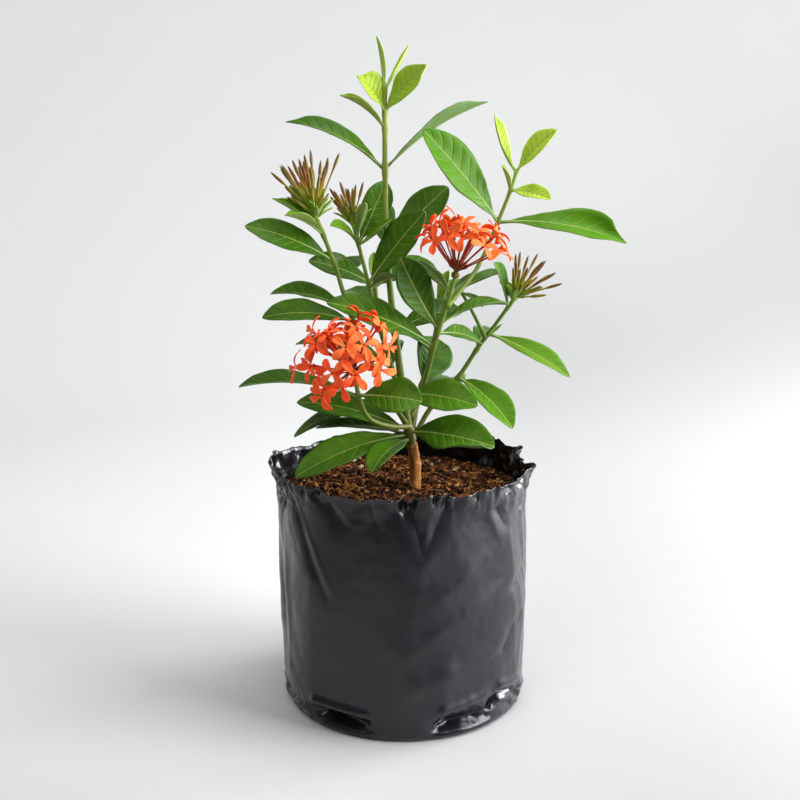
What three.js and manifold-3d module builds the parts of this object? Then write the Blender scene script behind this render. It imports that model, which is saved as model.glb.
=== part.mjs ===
// Potted ixora: a young flowering shrub in a black film nursery bag filled with coir soil.
// Units are millimetres, +Z is up, and the origin is the centre of the bag's flat bottom.
// Headings are degrees round +Z from +X, and rises are degrees above the horizontal.
import * as THREE from "three";
import { mergeVertices } from "three/addons/utils/BufferGeometryUtils.js";
import Module from "manifold-3d";

const wasm = await Module();
wasm.setup();

// ---- Driving dimensions: the bag and its soil ----
const BAG_HEIGHT = 165;
const BAG_FOOT_RADIUS = 83.4;
const BAG_BELLY_RADIUS = 86.6;
const BAG_BELLY_HEIGHT = 95;
const BAG_CORNER = 5;
const BAG_LEAN = -2.2;
const FOOT_TURN = 9;
const RIM_BAND = 22;
const RIM_FLARE = 1.6;
const FILM = 1.2;
const SOIL_LEVEL = 148;
const SOIL_MOUND = 2.5;
const SOIL_RELIEF = 1.3;
const SOIL_RING = 50;
const BAG_SIDES = 60;
const WALL_HEIGHTS = [BAG_CORNER, 30, 56, 84, 110, 132, 148, 158];
const ROWS_OVER_SOIL = 2;
const CREASE_FADE = 0.4;
const GAP = 0.3;

// Folds pressed into the film: start heading and height, end heading and height, depth (a
// raised ridge where negative) and width. From the left of the front, round to the back.
const CREASES = [
  [214, 163, 236, 98, 2.4, 7],
  [203, 150, 210, 60, 1.4, 8],
  [190, 120, 205, 40, 1.8, 7],
  [230, 164, 242, 146, 2.6, 6],
  [198, 142, 197, 24, 1.0, 7],
  [224, 13, 254, 11, 3.0, 5],
  [196, 9, 218, 9, 1.6, 5],
  [271, 165, 272, 154, 2.2, 5],
  [274, 160, 277, 131, 2.0, 5],
  [289, 163, 280, 131, 1.6, 6],
  [276, 128, 270, 62, -1.3, 10],
  [270, 62, 262, 24, -1.3, 10],
  [288, 45, 286, 20, -1.0, 9],
  [286, 7, 313, 12, 3.0, 5],
  [314, 17, 341, 5, 2.6, 5],
  [281, 73, 326, 104, -0.9, 8],
  [286, 99, 309, 119, -0.8, 8],
  [274, 39, 321, 59, -0.7, 9],
  [328, 94, 344, 100, 1.2, 6],
  [321, 53, 328, 68, 1.0, 6],
  [317, 150, 321, 139, 1.2, 5],
  [20, 150, 48, 82, 2.2, 8],
  [64, 118, 92, 40, 1.8, 9],
  [104, 160, 118, 104, 2.0, 7],
  [140, 96, 164, 34, 2.0, 8],
  [34, 34, 74, 12, 2.4, 7],
  [118, 28, 156, 10, 2.4, 7],
];

// Gathers of the rim: heading, half spread, how far the edge moves in or out, its lift.
const RIM_GATHERS = [
  [176, 9, 3.2, 5.0],
  [196, 8, -3.4, -2.0],
  [247, 7, -2.6, -2.6],
  [270, 6, -3.0, -1.8],
  [283, 5, 1.2, 1.6],
  [296, 6, -1.2, -1.0],
  [352, 6, 2.6, 3.4],
  [6, 6, -5.0, -1.0],
  [18, 6, 2.8, 3.6],
  [31, 6, -5.4, -0.6],
  [43, 6, 1.8, 2.8],
  [56, 6, -4.0, 0.6],
  [84, 10, -2.2, 1.4],
  [112, 9, 1.6, 2.2],
  [140, 9, -2.8, -0.6],
  [158, 8, 1.0, 1.8],
];

// ---- Driving dimensions: the plant ----
const BLADE = 0.8;
const PETIOLE_WIDTH = 2.6;
const PETIOLE_THICK = 1.6;
const PETIOLE_SHARE = 0.08;
const BLADE_ROWS = [0, PETIOLE_SHARE, 0.32, 0.62, 0.88, 1];
const BRACT_ROWS = [0, PETIOLE_SHARE, 0.4, 0.78, 1];
const BRACT_LENGTH = 43;
const BLADE_TIP = 0.35;
const WAVE_SHARE = 0.035;
const STEM_SIDES = 6;

// Stems: points from root to tip, radius at the root and at the tip.
const TRUNK = {
  points: [[8, -5, 78], [7, -5, 148], [7, -5, 165], [5, -5, 180]],
  radii: [4.4, 3.5],
};
const STEMS = {
  stem_main: {
    points: [
      [5, -5, 177], [0, -4, 207], [-5, -2, 244], [-9, 0, 277], [-12, 2, 314], [-13, 4, 363],
      [-13, 4, 416],
    ],
    radii: [2.9, 1.5],
  },
  stem_left_bud: {
    points: [
      [1, -6, 194], [-13, -9, 217], [-28, -10, 249], [-39, -10, 279], [-46, -10, 302],
      [-57, -13, 332],
    ],
    radii: [1.75, 1.35],
  },
  stem_mid_bud: {
    points: [
      [0, -3, 206], [-11, -5, 240], [-20, -3, 270], [-26, 0, 296], [-34, 6, 326],
    ],
    radii: [1.6, 1.25],
  },
  stem_front_flower: {
    points: [
      [3, -7, 192], [-10, -22, 196], [-23, -34, 204], [-29, -41, 218], [-32, -46, 236],
    ],
    radii: [1.75, 1.4],
  },
  stem_right_flower: {
    points: [
      [4, -2, 198], [11, 0, 214], [16, -10, 234], [21, -20, 257], [27, -25, 277],
      [32, -26, 295],
    ],
    radii: [1.7, 1.3],
  },
  stem_right_bud: {
    points: [
      [7, -3, 185], [18, 4, 203], [35, 8, 221], [49, 10, 242], [57, 10, 253], [73, 8, 276],
    ],
    radii: [1.8, 1.25],
  },
  stem_top_right: {
    points: [
      [27, -26, 276], [38, -12, 287], [47, 0, 297], [54, 8, 309], [62, 10, 328], [70, 10, 349],
      [74, 10, 362],
    ],
    radii: [1.6, 1.2],
  },
  stem_twig: {
    points: [
      [55, 10, 250], [47, 6, 266], [37, 4, 284],
    ],
    radii: [1.3, 1.1],
  },
  stem_back_left: {
    points: [
      [1, -2, 196], [-7, 12, 222], [-15, 26, 250], [-21, 38, 284],
    ],
    radii: [2.0, 1.3],
  },
  stem_back_right: {
    points: [
      [5, -2, 190], [11, 14, 214], [19, 30, 238], [25, 42, 268],
    ],
    radii: [2.0, 1.3],
  },
};

// Leaves by stem: height of the node, heading, rise, length, width, arch as a share of the
// length, roll about the midrib, and fold of each half above the flat.
const LEAVES = {
  stem_main: [
    [414, 211, 79, 32, 6, 0.02, 0, 38],
    [414, 21, 58, 32, 5.6, -0.03, 0, 40],
    [399, 204, 48, 29, 22, 0.10, -52, 18],
    [399, 345, 46, 40, 21, 0.04, 58, 14],
    [389, 200, 33, 36, 12, 0.08, -14, 40],
    [362, 171, 25, 73, 19, 0.10, -22, 26],
    [363, 18, 31, 84, 20, 0.06, -16, 28],
    [310, 22, 43, 60, 24, 0.06, 50, 14],
    [310, 104, 26, 56, 24, 0.12, 0, 18],
    [256, 20, 14, 50, 22, 0.10, 30, 14],
    [213, 326, 0, 58, 25, 0.10, 44, 14],
    [188, 334, -3, 62, 30, 0.10, 50, 12],
    [186, 201, -15, 84, 28, 0.08, -26, 16],
    [183, 238, -14, 50, 23, 0.10, 0, 18],
    [189, 170, 12, 80, 22, 0.08, -32, 14],
    [186, 160, -1, 70, 17, 0.06, -10, 16],
  ],
  stem_left_bud: [
    [323, 138, 44, 42, 10, -0.06, -30, 30],
    [323, 184, 34, 38, 11, 0.04, -16, 40],
    [322, 226, 22, 34, 13, 0.06, 0, 40],
    [304, 186, 22, 61, 22, 0.08, -44, 12],
    [304, 68, -10, 40, 18, 0.08, 0, 18],
    [271, 161, 9, 58, 21, 0.10, -20, 26],
    [264, 190, 4, 60, 22, 0.10, -34, 18],
    [236, 160, 10, 56, 22, 0.10, 0, 18],
  ],
  stem_mid_bud: [
    [314, 45, 58, 48, 20, 0.04, 60, 12],
    [318, 296, 56, 28, 9, 0.02, 0, 36],
    [314, 223, 29, 27, 14, 0.10, -30, 22],
    [314, 334, 34, 30, 13, -0.04, 30, 22],
    [288, 342, 51, 62, 25, 0.04, 70, 12],
    [285, 316, 18, 30, 13, 0.08, 0, 30],
  ],
  stem_front_flower: [
    [221, 175, 3, 78, 20, 0.08, -8, 28],
    [221, 336, 0, 44, 26, 0.06, 46, 10],
  ],
  stem_right_flower: [
    [285, 199, 44, 31, 13, 0.04, -10, 32],
    [285, 143, 16, 46, 15, 0.10, 0, 24],
    [265, 22, 11, 50, 16, 0.10, 10, 28],
    [260, 189, 62, 54, 24, -0.04, -70, 10],
    [258, 40, -15, 41, 19, 0.08, 30, 14],
    [249, 186, 23, 76, 25, 0.08, -42, 14],
  ],
  stem_right_bud: [
    [272, 228, 60, 35, 18, 0.02, -62, 18],
    [253, 345, -26, 62, 19, 0.06, 30, 20],
    [223, 320, -32, 54, 24, 0.10, 20, 24],
    [242, 70, 8, 48, 20, 0.12, 0, 18],
  ],
  stem_top_right: [
    [361, 195, 66, 40, 15, -0.08, -40, 30],
    [361, 346, 46, 37, 18, 0.06, 48, 16],
    [349, 236, 52, 20, 13, 0.02, -50, 20],
    [349, 322, -10, 31, 15, 0.06, 34, 16],
    [328, 200, 48, 80, 29, 0.04, -70, 12],
    [328, 354, -9, 86, 23, 0.08, 34, 16],
  ],
  stem_twig: [
    [284, 24, 16, 37, 12, 0.06, 20, 24],
    [282, 322, -27, 19, 9, 0.06, 0, 24],
  ],
  stem_back_left: [
    [283, 96, 66, 24, 9, 0.04, 0, 34],
    [282, 192, 22, 50, 22, 0.08, -40, 12],
    [282, 20, 22, 44, 20, 0.08, 40, 12],
    [254, 120, 20, 60, 22, 0.12, 0, 18],
    [228, 174, 14, 56, 22, 0.12, -20, 18],
    [227, 96, 6, 62, 24, 0.12, 0, 16],
    [206, 178, -18, 78, 14, 0.14, 56, 10],
  ],
  stem_back_right: [
    [267, 60, 62, 28, 10, 0.04, 0, 34],
    [266, 330, 40, 40, 16, 0.06, 20, 26],
    [258, 64, 22, 60, 22, 0.12, 0, 18],
    [238, 150, 12, 46, 22, 0.12, 0, 18],
    [216, 72, 34, 48, 29, 0.06, 40, 10],
    [206, 60, 2, 66, 24, 0.12, 0, 16],
  ],
};

// Flower heads: the stem they sit on, axis, number of florets, their reach and spread, seed.
const FLOWER_HEADS = {
  flowers_front: {
    stem: "stem_front_flower", heading: 246, rise: 51, count: 21, reach: 38, spread: 70, seed: 3,
  },
  flowers_right: {
    stem: "stem_right_flower", heading: 330, rise: 78, count: 15, reach: 39, spread: 56, seed: 11,
  },
};
const PETAL = { length: 11, shoulder: 6.4, width: 5.6, notch: 1.9, thick: 0.7, cup: 1.2 };
const FLORET_TUBE = { root: 1.0, throat: 1.3, sides: 3 };
const FLORET_LAYERS = 3;
const LAYER_STEP = 3.4;
const HEAD_CORE = 6;

// Clusters of unopened buds, stated in the same way.
const BUD_CLUSTERS = {
  buds_left: {
    stem: "stem_left_bud", heading: 170, rise: 76, count: 24, reach: 43, spread: 38, seed: 5,
  },
  buds_mid: {
    stem: "stem_mid_bud", heading: 200, rise: 78, count: 13, reach: 30, spread: 34, seed: 7,
  },
  buds_right: {
    stem: "stem_right_bud", heading: 345, rise: 58, count: 16, reach: 37, spread: 42, seed: 9,
  },
};
const BUD = { head: 11.25, radius: 1.45, neck: 0.8, sides: 3, shortest: 0.82, longest: 1.08 };
const BUD_CORE = 4;
const CORE_SEAT = 0.6;
const STRAY_LEAN = 0.16;
const STRAY_TURN = 0.5;

// ---- Small helpers ----
const rad = THREE.MathUtils.degToRad;
const vector = (point) => new THREE.Vector3(...point);
const smooth = THREE.MathUtils.smoothstep;

function draw(seed) {
  const value = Math.sin(seed * 12.9898) * 43758.5453;
  return value - Math.floor(value);
}

function direction(heading, rise) {
  const flat = Math.cos(rad(rise));
  return new THREE.Vector3(
    flat * Math.cos(rad(heading)),
    flat * Math.sin(rad(heading)),
    Math.sin(rad(rise)),
  );
}

function turnBetween(headingA, headingB) {
  return THREE.MathUtils.euclideanModulo(headingA - headingB + 180, 360) - 180;
}

function solidOf(geometry) {
  const bare = geometry.index ? geometry : mergeVertices(geometry);
  bare.deleteAttribute("normal");
  bare.deleteAttribute("uv");
  const merged = mergeVertices(bare, 1e-4);
  return new wasm.Manifold(new wasm.Mesh({
    numProp: 3,
    vertProperties: new Float32Array(merged.attributes.position.array),
    triVerts: new Uint32Array(merged.index.array),
  }));
}

function reshape(geometry, place) {
  const positions = geometry.attributes.position;
  for (let i = 0; i < positions.count; i += 1) {
    const moved = place(positions.getX(i), positions.getY(i), positions.getZ(i));
    positions.setXYZ(i, moved.x, moved.y, moved.z);
  }
  return geometry;
}

function largestOf(solid) {
  const pieces = solid.decompose();
  return pieces.reduce((best, piece) => (piece.volume() > best.volume() ? piece : best));
}

function meshOf(name, solid, colour, roughness) {
  const result = solid.getMesh();
  const geometry = new THREE.BufferGeometry();
  geometry.setAttribute("position", new THREE.BufferAttribute(result.vertProperties, 3));
  geometry.setIndex(new THREE.BufferAttribute(result.triVerts, 1));
  geometry.computeVertexNormals();
  const material = new THREE.MeshStandardMaterial({ color: colour, roughness, metalness: 0 });
  const mesh = new THREE.Mesh(geometry, material);
  mesh.name = name;
  return mesh;
}

// ---- The bag ----
// A crease is a straight groove on the unrolled wall, fading towards its end.
function creaseDepth(heading, height) {
  const alongWall = (turn) => rad(turn) * BAG_BELLY_RADIUS;
  let depth = 0;
  for (const [fromHeading, fromHeight, toHeading, toHeight, deep, wide] of CREASES) {
    const runX = alongWall(turnBetween(toHeading, fromHeading));
    const hereX = alongWall(turnBetween(heading, fromHeading));
    const run = new THREE.Vector2(runX, toHeight - fromHeight);
    const here = new THREE.Vector2(hereX, height - fromHeight);
    const share = THREE.MathUtils.clamp(here.dot(run) / run.lengthSq(), 0, 1);
    const away = here.distanceTo(run.multiplyScalar(share));
    depth += deep * Math.exp(-((away / wide) ** 2)) * (1 - CREASE_FADE * share);
  }
  return depth;
}

function rimMove(heading) {
  let out = 0;
  let lift = 0;
  for (const [centre, half, push, raise] of RIM_GATHERS) {
    const bell = Math.exp(-((turnBetween(heading, centre) / half) ** 2));
    out += push * bell;
    lift += raise * bell;
  }
  return { out, lift };
}

function nearRim(height) {
  return smooth(height, BAG_HEIGHT - RIM_BAND, BAG_HEIGHT);
}

function bagRadius(heading, height) {
  const belly = Math.sin((Math.PI / 2) * (height / BAG_BELLY_HEIGHT));
  const plain = BAG_FOOT_RADIUS + (BAG_BELLY_RADIUS - BAG_FOOT_RADIUS) * belly;
  const flare = (RIM_FLARE + rimMove(heading).out) * nearRim(height);
  return plain + flare - creaseDepth(heading, height) * smooth(height, 0, BAG_CORNER * 2);
}

function latheOf(profile, sides) {
  return new THREE.LatheGeometry(profile.map(([r, z]) => new THREE.Vector2(r, z)), sides);
}

// A [radius, height] profile turned about the axis, then pushed to the bag's real, creased
// outline: a point out at the wall moves with it, and one on the flat bottom stays.
function turnedInBag(profile) {
  const lathe = latheOf(profile, BAG_SIDES);
  return reshape(lathe, (x, z, back) => {
    const y = -back;
    const radius = Math.hypot(x, y);
    if (radius < 1e-6) return new THREE.Vector3(0, 0, z);
    const heading = THREE.MathUtils.radToDeg(Math.atan2(y, x));
    const onWall = smooth(radius, BAG_FOOT_RADIUS - FOOT_TURN, BAG_FOOT_RADIUS - FOOT_TURN / 3);
    const shift = (bagRadius(heading, z) - BAG_BELLY_RADIUS) * onWall;
    const lift = rimMove(heading).lift * nearRim(z);
    const scale = (radius + shift) / radius;
    return new THREE.Vector3(x * scale + BAG_LEAN * (z / BAG_HEIGHT), y * scale, z + lift);
  });
}

function bag() {
  const outside = BAG_BELLY_RADIUS;
  const inside = outside - FILM;
  const flat = BAG_FOOT_RADIUS - FOOT_TURN;
  const profile = [
    [0, 0],
    [flat, 0],
    [outside - FILM, FILM],
    ...WALL_HEIGHTS.map((z) => [outside, z]),
    [outside, BAG_HEIGHT],
    [inside, BAG_HEIGHT],
    ...WALL_HEIGHTS.toReversed().map((z) => [inside, z]),
    [flat - FILM / 2, FILM],
    [0, FILM],
  ];
  return solidOf(turnedInBag(profile));
}

// ---- The soil: it fills the bag to SOIL_LEVEL, with broad lumps and smaller clods on top ----
function soilSurface(x, y) {
  const mound = SOIL_MOUND * (1 - Math.hypot(x, y) / BAG_BELLY_RADIUS);
  const lump = Math.sin(x * 0.21 + 1.3) * Math.cos(y * 0.17 + 0.4);
  const clod = Math.sin(x * 0.43 + 2.1) * Math.sin(y * 0.39 + 0.9);
  return SOIL_LEVEL + mound + SOIL_RELIEF * (lump + 0.6 * clod);
}

function soil() {
  const edge = BAG_BELLY_RADIUS - FILM - GAP * 3;
  const floor = FILM + GAP;
  const profile = [
    [0, floor],
    [BAG_FOOT_RADIUS - FOOT_TURN - FILM - GAP, floor],
    ...WALL_HEIGHTS.slice(0, -ROWS_OVER_SOIL).map((z) => [edge, z]),
    [edge, SOIL_LEVEL],
    [SOIL_RING, SOIL_LEVEL],
    [0, SOIL_LEVEL],
  ];
  const body = reshape(turnedInBag(profile), (x, y, z) => {
    const onTop = z > SOIL_LEVEL - GAP;
    return new THREE.Vector3(x, y, onTop ? soilSurface(x, y) : z);
  });
  return solidOf(body).subtract(tube(TRUNK, GAP));
}

// ---- Stems: tapering tubes; spare grows one all round, to cut the clearance in a neighbour ----
function curveOf(points) {
  return new THREE.CatmullRomCurve3(points.map(vector), false, "catmullrom", 0.5);
}

function tube({ points, radii }, spare = 0) {
  const curve = curveOf(points);
  const steps = points.length + 1;
  const column = new THREE.CylinderGeometry(1, 1, 1, STEM_SIDES, steps);
  return solidOf(reshape(column, (x, y, z) => {
    const share = y + 0.5;
    const along = curve.getTangent(share);
    const across = new THREE.Vector3(1, 0, 0).addScaledVector(along, -along.x).normalize();
    const beside = new THREE.Vector3().crossVectors(across, along);
    const radius = THREE.MathUtils.lerp(radii[0], radii[1], share) + spare;
    const overshoot = y === 0.5 || y === -0.5 ? Math.sign(y) * spare : 0;
    return curve.getPoint(share)
      .addScaledVector(across, x * radius)
      .addScaledVector(beside, z * radius)
      .addScaledVector(along, overshoot);
  }));
}

function pointAtHeight(curve, height) {
  let low = 0;
  let high = 1;
  for (let step = 0; step < 30; step += 1) {
    const middle = (low + high) / 2;
    if (curve.getPoint(middle).z < height) low = middle;
    else high = middle;
  }
  return curve.getPoint(low);
}

// ---- Blades: leaves, bracts and petals ----
// Both faces are split into the same triangles, so a waved blade never cuts itself.
function bladeSolid(rows, columns, place) {
  const positions = [];
  for (const face of [1, -1]) {
    for (const share of rows) {
      for (let column = 0; column <= columns; column += 1) {
        positions.push(...place(share, (2 * column) / columns - 1, face).toArray());
      }
    }
  }
  const wide = columns + 1;
  const under = rows.length * wide;
  const index = [];
  const quad = (a, b, c, d) => index.push(a, b, c, a, c, d);
  for (let row = 0; row < rows.length - 1; row += 1) {
    for (let column = 0; column < columns; column += 1) {
      const a = row * wide + column;
      quad(a, a + wide, a + wide + 1, a + 1);
      index.push(under + a, under + a + wide + 1, under + a + wide);
      index.push(under + a, under + a + 1, under + a + wide + 1);
    }
    const left = row * wide;
    const right = left + columns;
    quad(left, under + left, under + left + wide, left + wide);
    quad(right, right + wide, under + right + wide, under + right);
  }
  const last = (rows.length - 1) * wide;
  for (let column = 0; column < columns; column += 1) {
    quad(column, column + 1, under + column + 1, under + column);
    quad(last + column, under + last + column, under + last + column + 1, last + column + 1);
  }
  const geometry = new THREE.BufferGeometry();
  geometry.setAttribute("position", new THREE.Float32BufferAttribute(positions, 3));
  geometry.setIndex(index);
  return solidOf(geometry);
}

function leafHalfWidth(share, width) {
  if (share <= PETIOLE_SHARE) return PETIOLE_WIDTH / 2;
  const blade = (share - PETIOLE_SHARE) / (1 - PETIOLE_SHARE);
  return Math.max(BLADE_TIP, (width / 2) * Math.sin(Math.PI * blade ** 1.3) ** 0.62);
}

function leaf(root, [, heading, rise, length, width, arch, roll, fold], seed) {
  const along = direction(heading, rise);
  const flatSide = new THREE.Vector3(-Math.sin(rad(heading)), Math.cos(rad(heading)), 0);
  const flatUp = new THREE.Vector3().crossVectors(along, flatSide);
  const side = flatSide.clone().applyAxisAngle(along, rad(roll));
  const up = flatUp.clone().applyAxisAngle(along, rad(roll));
  const phase = draw(seed) * 6;
  const rows = length < BRACT_LENGTH ? BRACT_ROWS : BLADE_ROWS;
  return bladeSolid(rows, 2, (share, across, face) => {
    const slope = Math.atan(4 * arch * (1 - 2 * share));
    const normal = up.clone().multiplyScalar(Math.cos(slope));
    normal.addScaledVector(along, -Math.sin(slope));
    const half = leafHalfWidth(share, width);
    const opened = smooth(share, 0, 0.2);
    const raise = half * Math.sin(rad(fold)) * opened;
    const ripple = Math.sin(9 * share + phase + across) * (1 - share);
    const wave = WAVE_SHARE * width * ripple * opened;
    const thick = share <= PETIOLE_SHARE ? PETIOLE_THICK : BLADE / Math.cos(rad(fold));
    return root.clone()
      .addScaledVector(along, length * share)
      .addScaledVector(up, length * arch * 4 * share * (1 - share))
      .addScaledVector(side, half * Math.cos(rad(fold) * opened) * across)
      .addScaledVector(normal, Math.abs(across) * (raise + wave) + (face * thick) / 2);
  });
}

// Each stem starts inside the one it grows from and is cut off GAP short of its bark.
function leafyStem(name, neighbours) {
  const stem = STEMS[name];
  const curve = curveOf(stem.points);
  const cut = neighbours.reduce((solid, other) => solid.subtract(tube(other, GAP)), tube(stem));
  const blades = LEAVES[name].map((row, place) => {
    return leaf(pointAtHeight(curve, row[0]), row, place + name.length);
  });
  return wasm.Manifold.union([largestOf(cut), ...blades]);
}

// ---- Flower heads and bud clusters ----
// Outward directions spread over a cap round the axis by the golden angle, with a seeded stray.
function spreadDirections({ heading, rise, spread, seed, count }) {
  const axis = direction(heading, rise);
  const toAxis = new THREE.Quaternion().setFromUnitVectors(new THREE.Vector3(0, 0, 1), axis);
  const golden = Math.PI * (3 - Math.sqrt(5));
  const directions = [];
  for (let item = 0; item < count; item += 1) {
    const share = (item + 0.5) / count;
    const evenLean = Math.acos(1 - share * (1 - Math.cos(rad(spread))));
    const lean = evenLean + STRAY_LEAN * (draw(seed + item) - 0.5);
    const turn = item * golden + STRAY_TURN * (draw(seed + item + 0.37) - 0.5);
    const flat = Math.sin(lean);
    const local = new THREE.Vector3(flat * Math.cos(turn), flat * Math.sin(turn), Math.cos(lean));
    directions.push(local.applyQuaternion(toAxis));
  }
  return directions;
}

function spindle(root, outward, profile, sides) {
  const turn = new THREE.Quaternion().setFromUnitVectors(new THREE.Vector3(0, 1, 0), outward);
  return solidOf(reshape(latheOf(profile, sides), (x, y, z) => {
    return new THREE.Vector3(x, y, z).applyQuaternion(turn).add(root);
  }));
}

// The corolla's limb is one thin plate of four petals, cupped outward from the throat.
function corolla(mouth, outward, first) {
  const outline = [];
  for (let quarter = 0; quarter < 4; quarter += 1) {
    const turn = (quarter * Math.PI) / 2;
    const spoke = new THREE.Vector2(Math.cos(turn), Math.sin(turn));
    const beside = new THREE.Vector2(-spoke.y, spoke.x);
    const at = (out, across) => spoke.clone().multiplyScalar(out).addScaledVector(beside, across);
    outline.push(
      spoke.clone().sub(beside).setLength(PETAL.notch),
      at(PETAL.shoulder, -PETAL.width / 2),
      at(PETAL.length, 0),
      at(PETAL.shoulder, PETAL.width / 2),
    );
  }
  const shape = new THREE.Shape(outline);
  const plate = new THREE.ExtrudeGeometry(shape, { depth: PETAL.thick, bevelEnabled: false });
  const second = new THREE.Vector3().crossVectors(outward, first);
  return solidOf(reshape(plate, (x, y, z) => {
    const cup = PETAL.cup * Math.sin(Math.PI * Math.min(1, Math.hypot(x, y) / PETAL.length));
    return mouth.clone()
      .addScaledVector(first, x)
      .addScaledVector(second, y)
      .addScaledVector(outward, z + cup);
  }));
}

// A floret is a slender tube that ends just through its corolla, so that the two are one body.
function floret(root, outward, reach, spin) {
  const end = reach + PETAL.thick + PETAL.cup / 2;
  const profile = [[0, 0], [FLORET_TUBE.root, 0], [FLORET_TUBE.throat, end], [0, end]];
  const steep = Math.abs(outward.z) > 0.9;
  const helper = steep ? new THREE.Vector3(1, 0, 0) : new THREE.Vector3(0, 0, 1);
  const first = new THREE.Vector3().crossVectors(outward, helper).normalize();
  first.applyAxisAngle(outward, spin);
  const mouth = root.clone().addScaledVector(outward, reach);
  return [spindle(root, outward, profile, FLORET_TUBE.sides), corolla(mouth, outward, first)];
}

// The tip of the stem stands in the foot of the head's small core, CORE_SEAT of the core's
// radius short of its centre, in a socket that clears it by GAP.
function coreCentre(head, size) {
  const axis = direction(head.heading, head.rise);
  return vector(STEMS[head.stem].points.at(-1)).addScaledVector(axis, size * CORE_SEAT);
}

function core(centre, size) {
  const ball = new THREE.IcosahedronGeometry(size, 0);
  return solidOf(reshape(ball, (x, y, z) => new THREE.Vector3(x, y, z).add(centre)));
}

function seatedOnStem(head, solids) {
  const whole = wasm.Manifold.union(solids);
  return largestOf(whole.subtract(tube(STEMS[head.stem], GAP)));
}

function flowerHead(head) {
  const root = coreCentre(head, HEAD_CORE);
  const solids = [core(root, HEAD_CORE)];
  spreadDirections(head).forEach((outward, item) => {
    const layer = (item % FLORET_LAYERS) - (FLORET_LAYERS - 1) / 2;
    const reach = head.reach - HEAD_CORE + layer * LAYER_STEP;
    solids.push(...floret(root, outward, reach, Math.PI * draw(head.seed + item + 0.53)));
  });
  return seatedOnStem(head, solids);
}

function budCluster(cluster) {
  const root = coreCentre(cluster, BUD_CORE);
  const solids = [core(root, BUD_CORE)];
  spreadDirections(cluster).forEach((outward, item) => {
    const grown = THREE.MathUtils.lerp(BUD.shortest, BUD.longest, draw(cluster.seed + item + 0.71));
    const tip = (cluster.reach - BUD_CORE) * grown;
    const profile = [[0, 0], [BUD.neck, 0], [BUD.radius, tip - BUD.head], [0, tip]];
    solids.push(spindle(root, outward, profile, BUD.sides));
  });
  return seatedOnStem(cluster, solids);
}

// ---- Assembly ----
const ixora = new THREE.Group();
ixora.add(meshOf("bag", bag(), 0x2b2b2e, 0.38));
ixora.add(meshOf("soil", soil(), 0x4a2e1c, 0.95));
ixora.add(meshOf("trunk", tube(TRUNK), 0x7a5836, 0.85));

const standing = [TRUNK];
for (const name of Object.keys(STEMS)) {
  ixora.add(meshOf(name, leafyStem(name, standing), 0x3f7a1f, 0.5));
  standing.push(STEMS[name]);
}
for (const [name, head] of Object.entries(FLOWER_HEADS)) {
  ixora.add(meshOf(name, flowerHead(head), 0xf05a2a, 0.6));
}
for (const [name, cluster] of Object.entries(BUD_CLUSTERS)) {
  ixora.add(meshOf(name, budCluster(cluster), 0x8a4b2a, 0.6));
}

export default ixora;
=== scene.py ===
"""Potted ixora in a black film nursery bag: its finished surfaces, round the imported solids."""

from collections import namedtuple
from math import acos, atan, atan2, cos, exp, floor, hypot, pi, radians, sin, sqrt, tau

import bmesh
import bpy
import numpy as np
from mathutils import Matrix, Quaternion, Vector, noise


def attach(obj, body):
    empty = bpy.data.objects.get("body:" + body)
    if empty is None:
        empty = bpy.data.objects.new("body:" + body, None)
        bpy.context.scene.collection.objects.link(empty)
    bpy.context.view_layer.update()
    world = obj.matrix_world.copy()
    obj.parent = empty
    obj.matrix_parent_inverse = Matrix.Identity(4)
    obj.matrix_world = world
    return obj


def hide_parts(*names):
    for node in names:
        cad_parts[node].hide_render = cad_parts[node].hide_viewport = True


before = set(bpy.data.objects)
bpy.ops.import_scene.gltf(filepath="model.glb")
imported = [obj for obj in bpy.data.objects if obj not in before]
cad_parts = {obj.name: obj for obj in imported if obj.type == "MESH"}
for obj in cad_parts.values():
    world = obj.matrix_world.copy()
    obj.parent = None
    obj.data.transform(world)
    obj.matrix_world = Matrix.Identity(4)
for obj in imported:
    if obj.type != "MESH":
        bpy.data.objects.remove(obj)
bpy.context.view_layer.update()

# ---- The nursery bag ----
# A bag of thin black polythene, filled until it stands round. It is one sheet: pressed folds
# run down from the gathers of its open rim, and its foot is tucked into pleats. Millimetres.
BAG_HEIGHT = 165
BAG_FOOT_RADIUS = 83.4
BAG_BELLY_RADIUS = 86.6
BAG_BELLY_HEIGHT = 95
BAG_CORNER = 5
FOOT_ROUND = ((80, 0.1), (83.4, 0.5), (85.4, 1.6), (86.3, 3.2))
FLOOR_ROUND = (80.0, 2.2)
FOOT_TOP = 27
RIM_FROM = 138
FOOT_STEP = 0.8
WALL_STEP = 1.7
RIM_ROWS = 30
SHOWN_ROWS = 20
BAG_LEAN = -2.2
FOOT_TURN = 9
RIM_BAND = 22
RIM_FLARE = 1.6
RIM_ROLL = 0.9
CREASE_FADE = 0.4
FILM_SHOWN = 0.5
FILM_BURIED = 3.5
BAG_TURNS = 560

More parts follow.
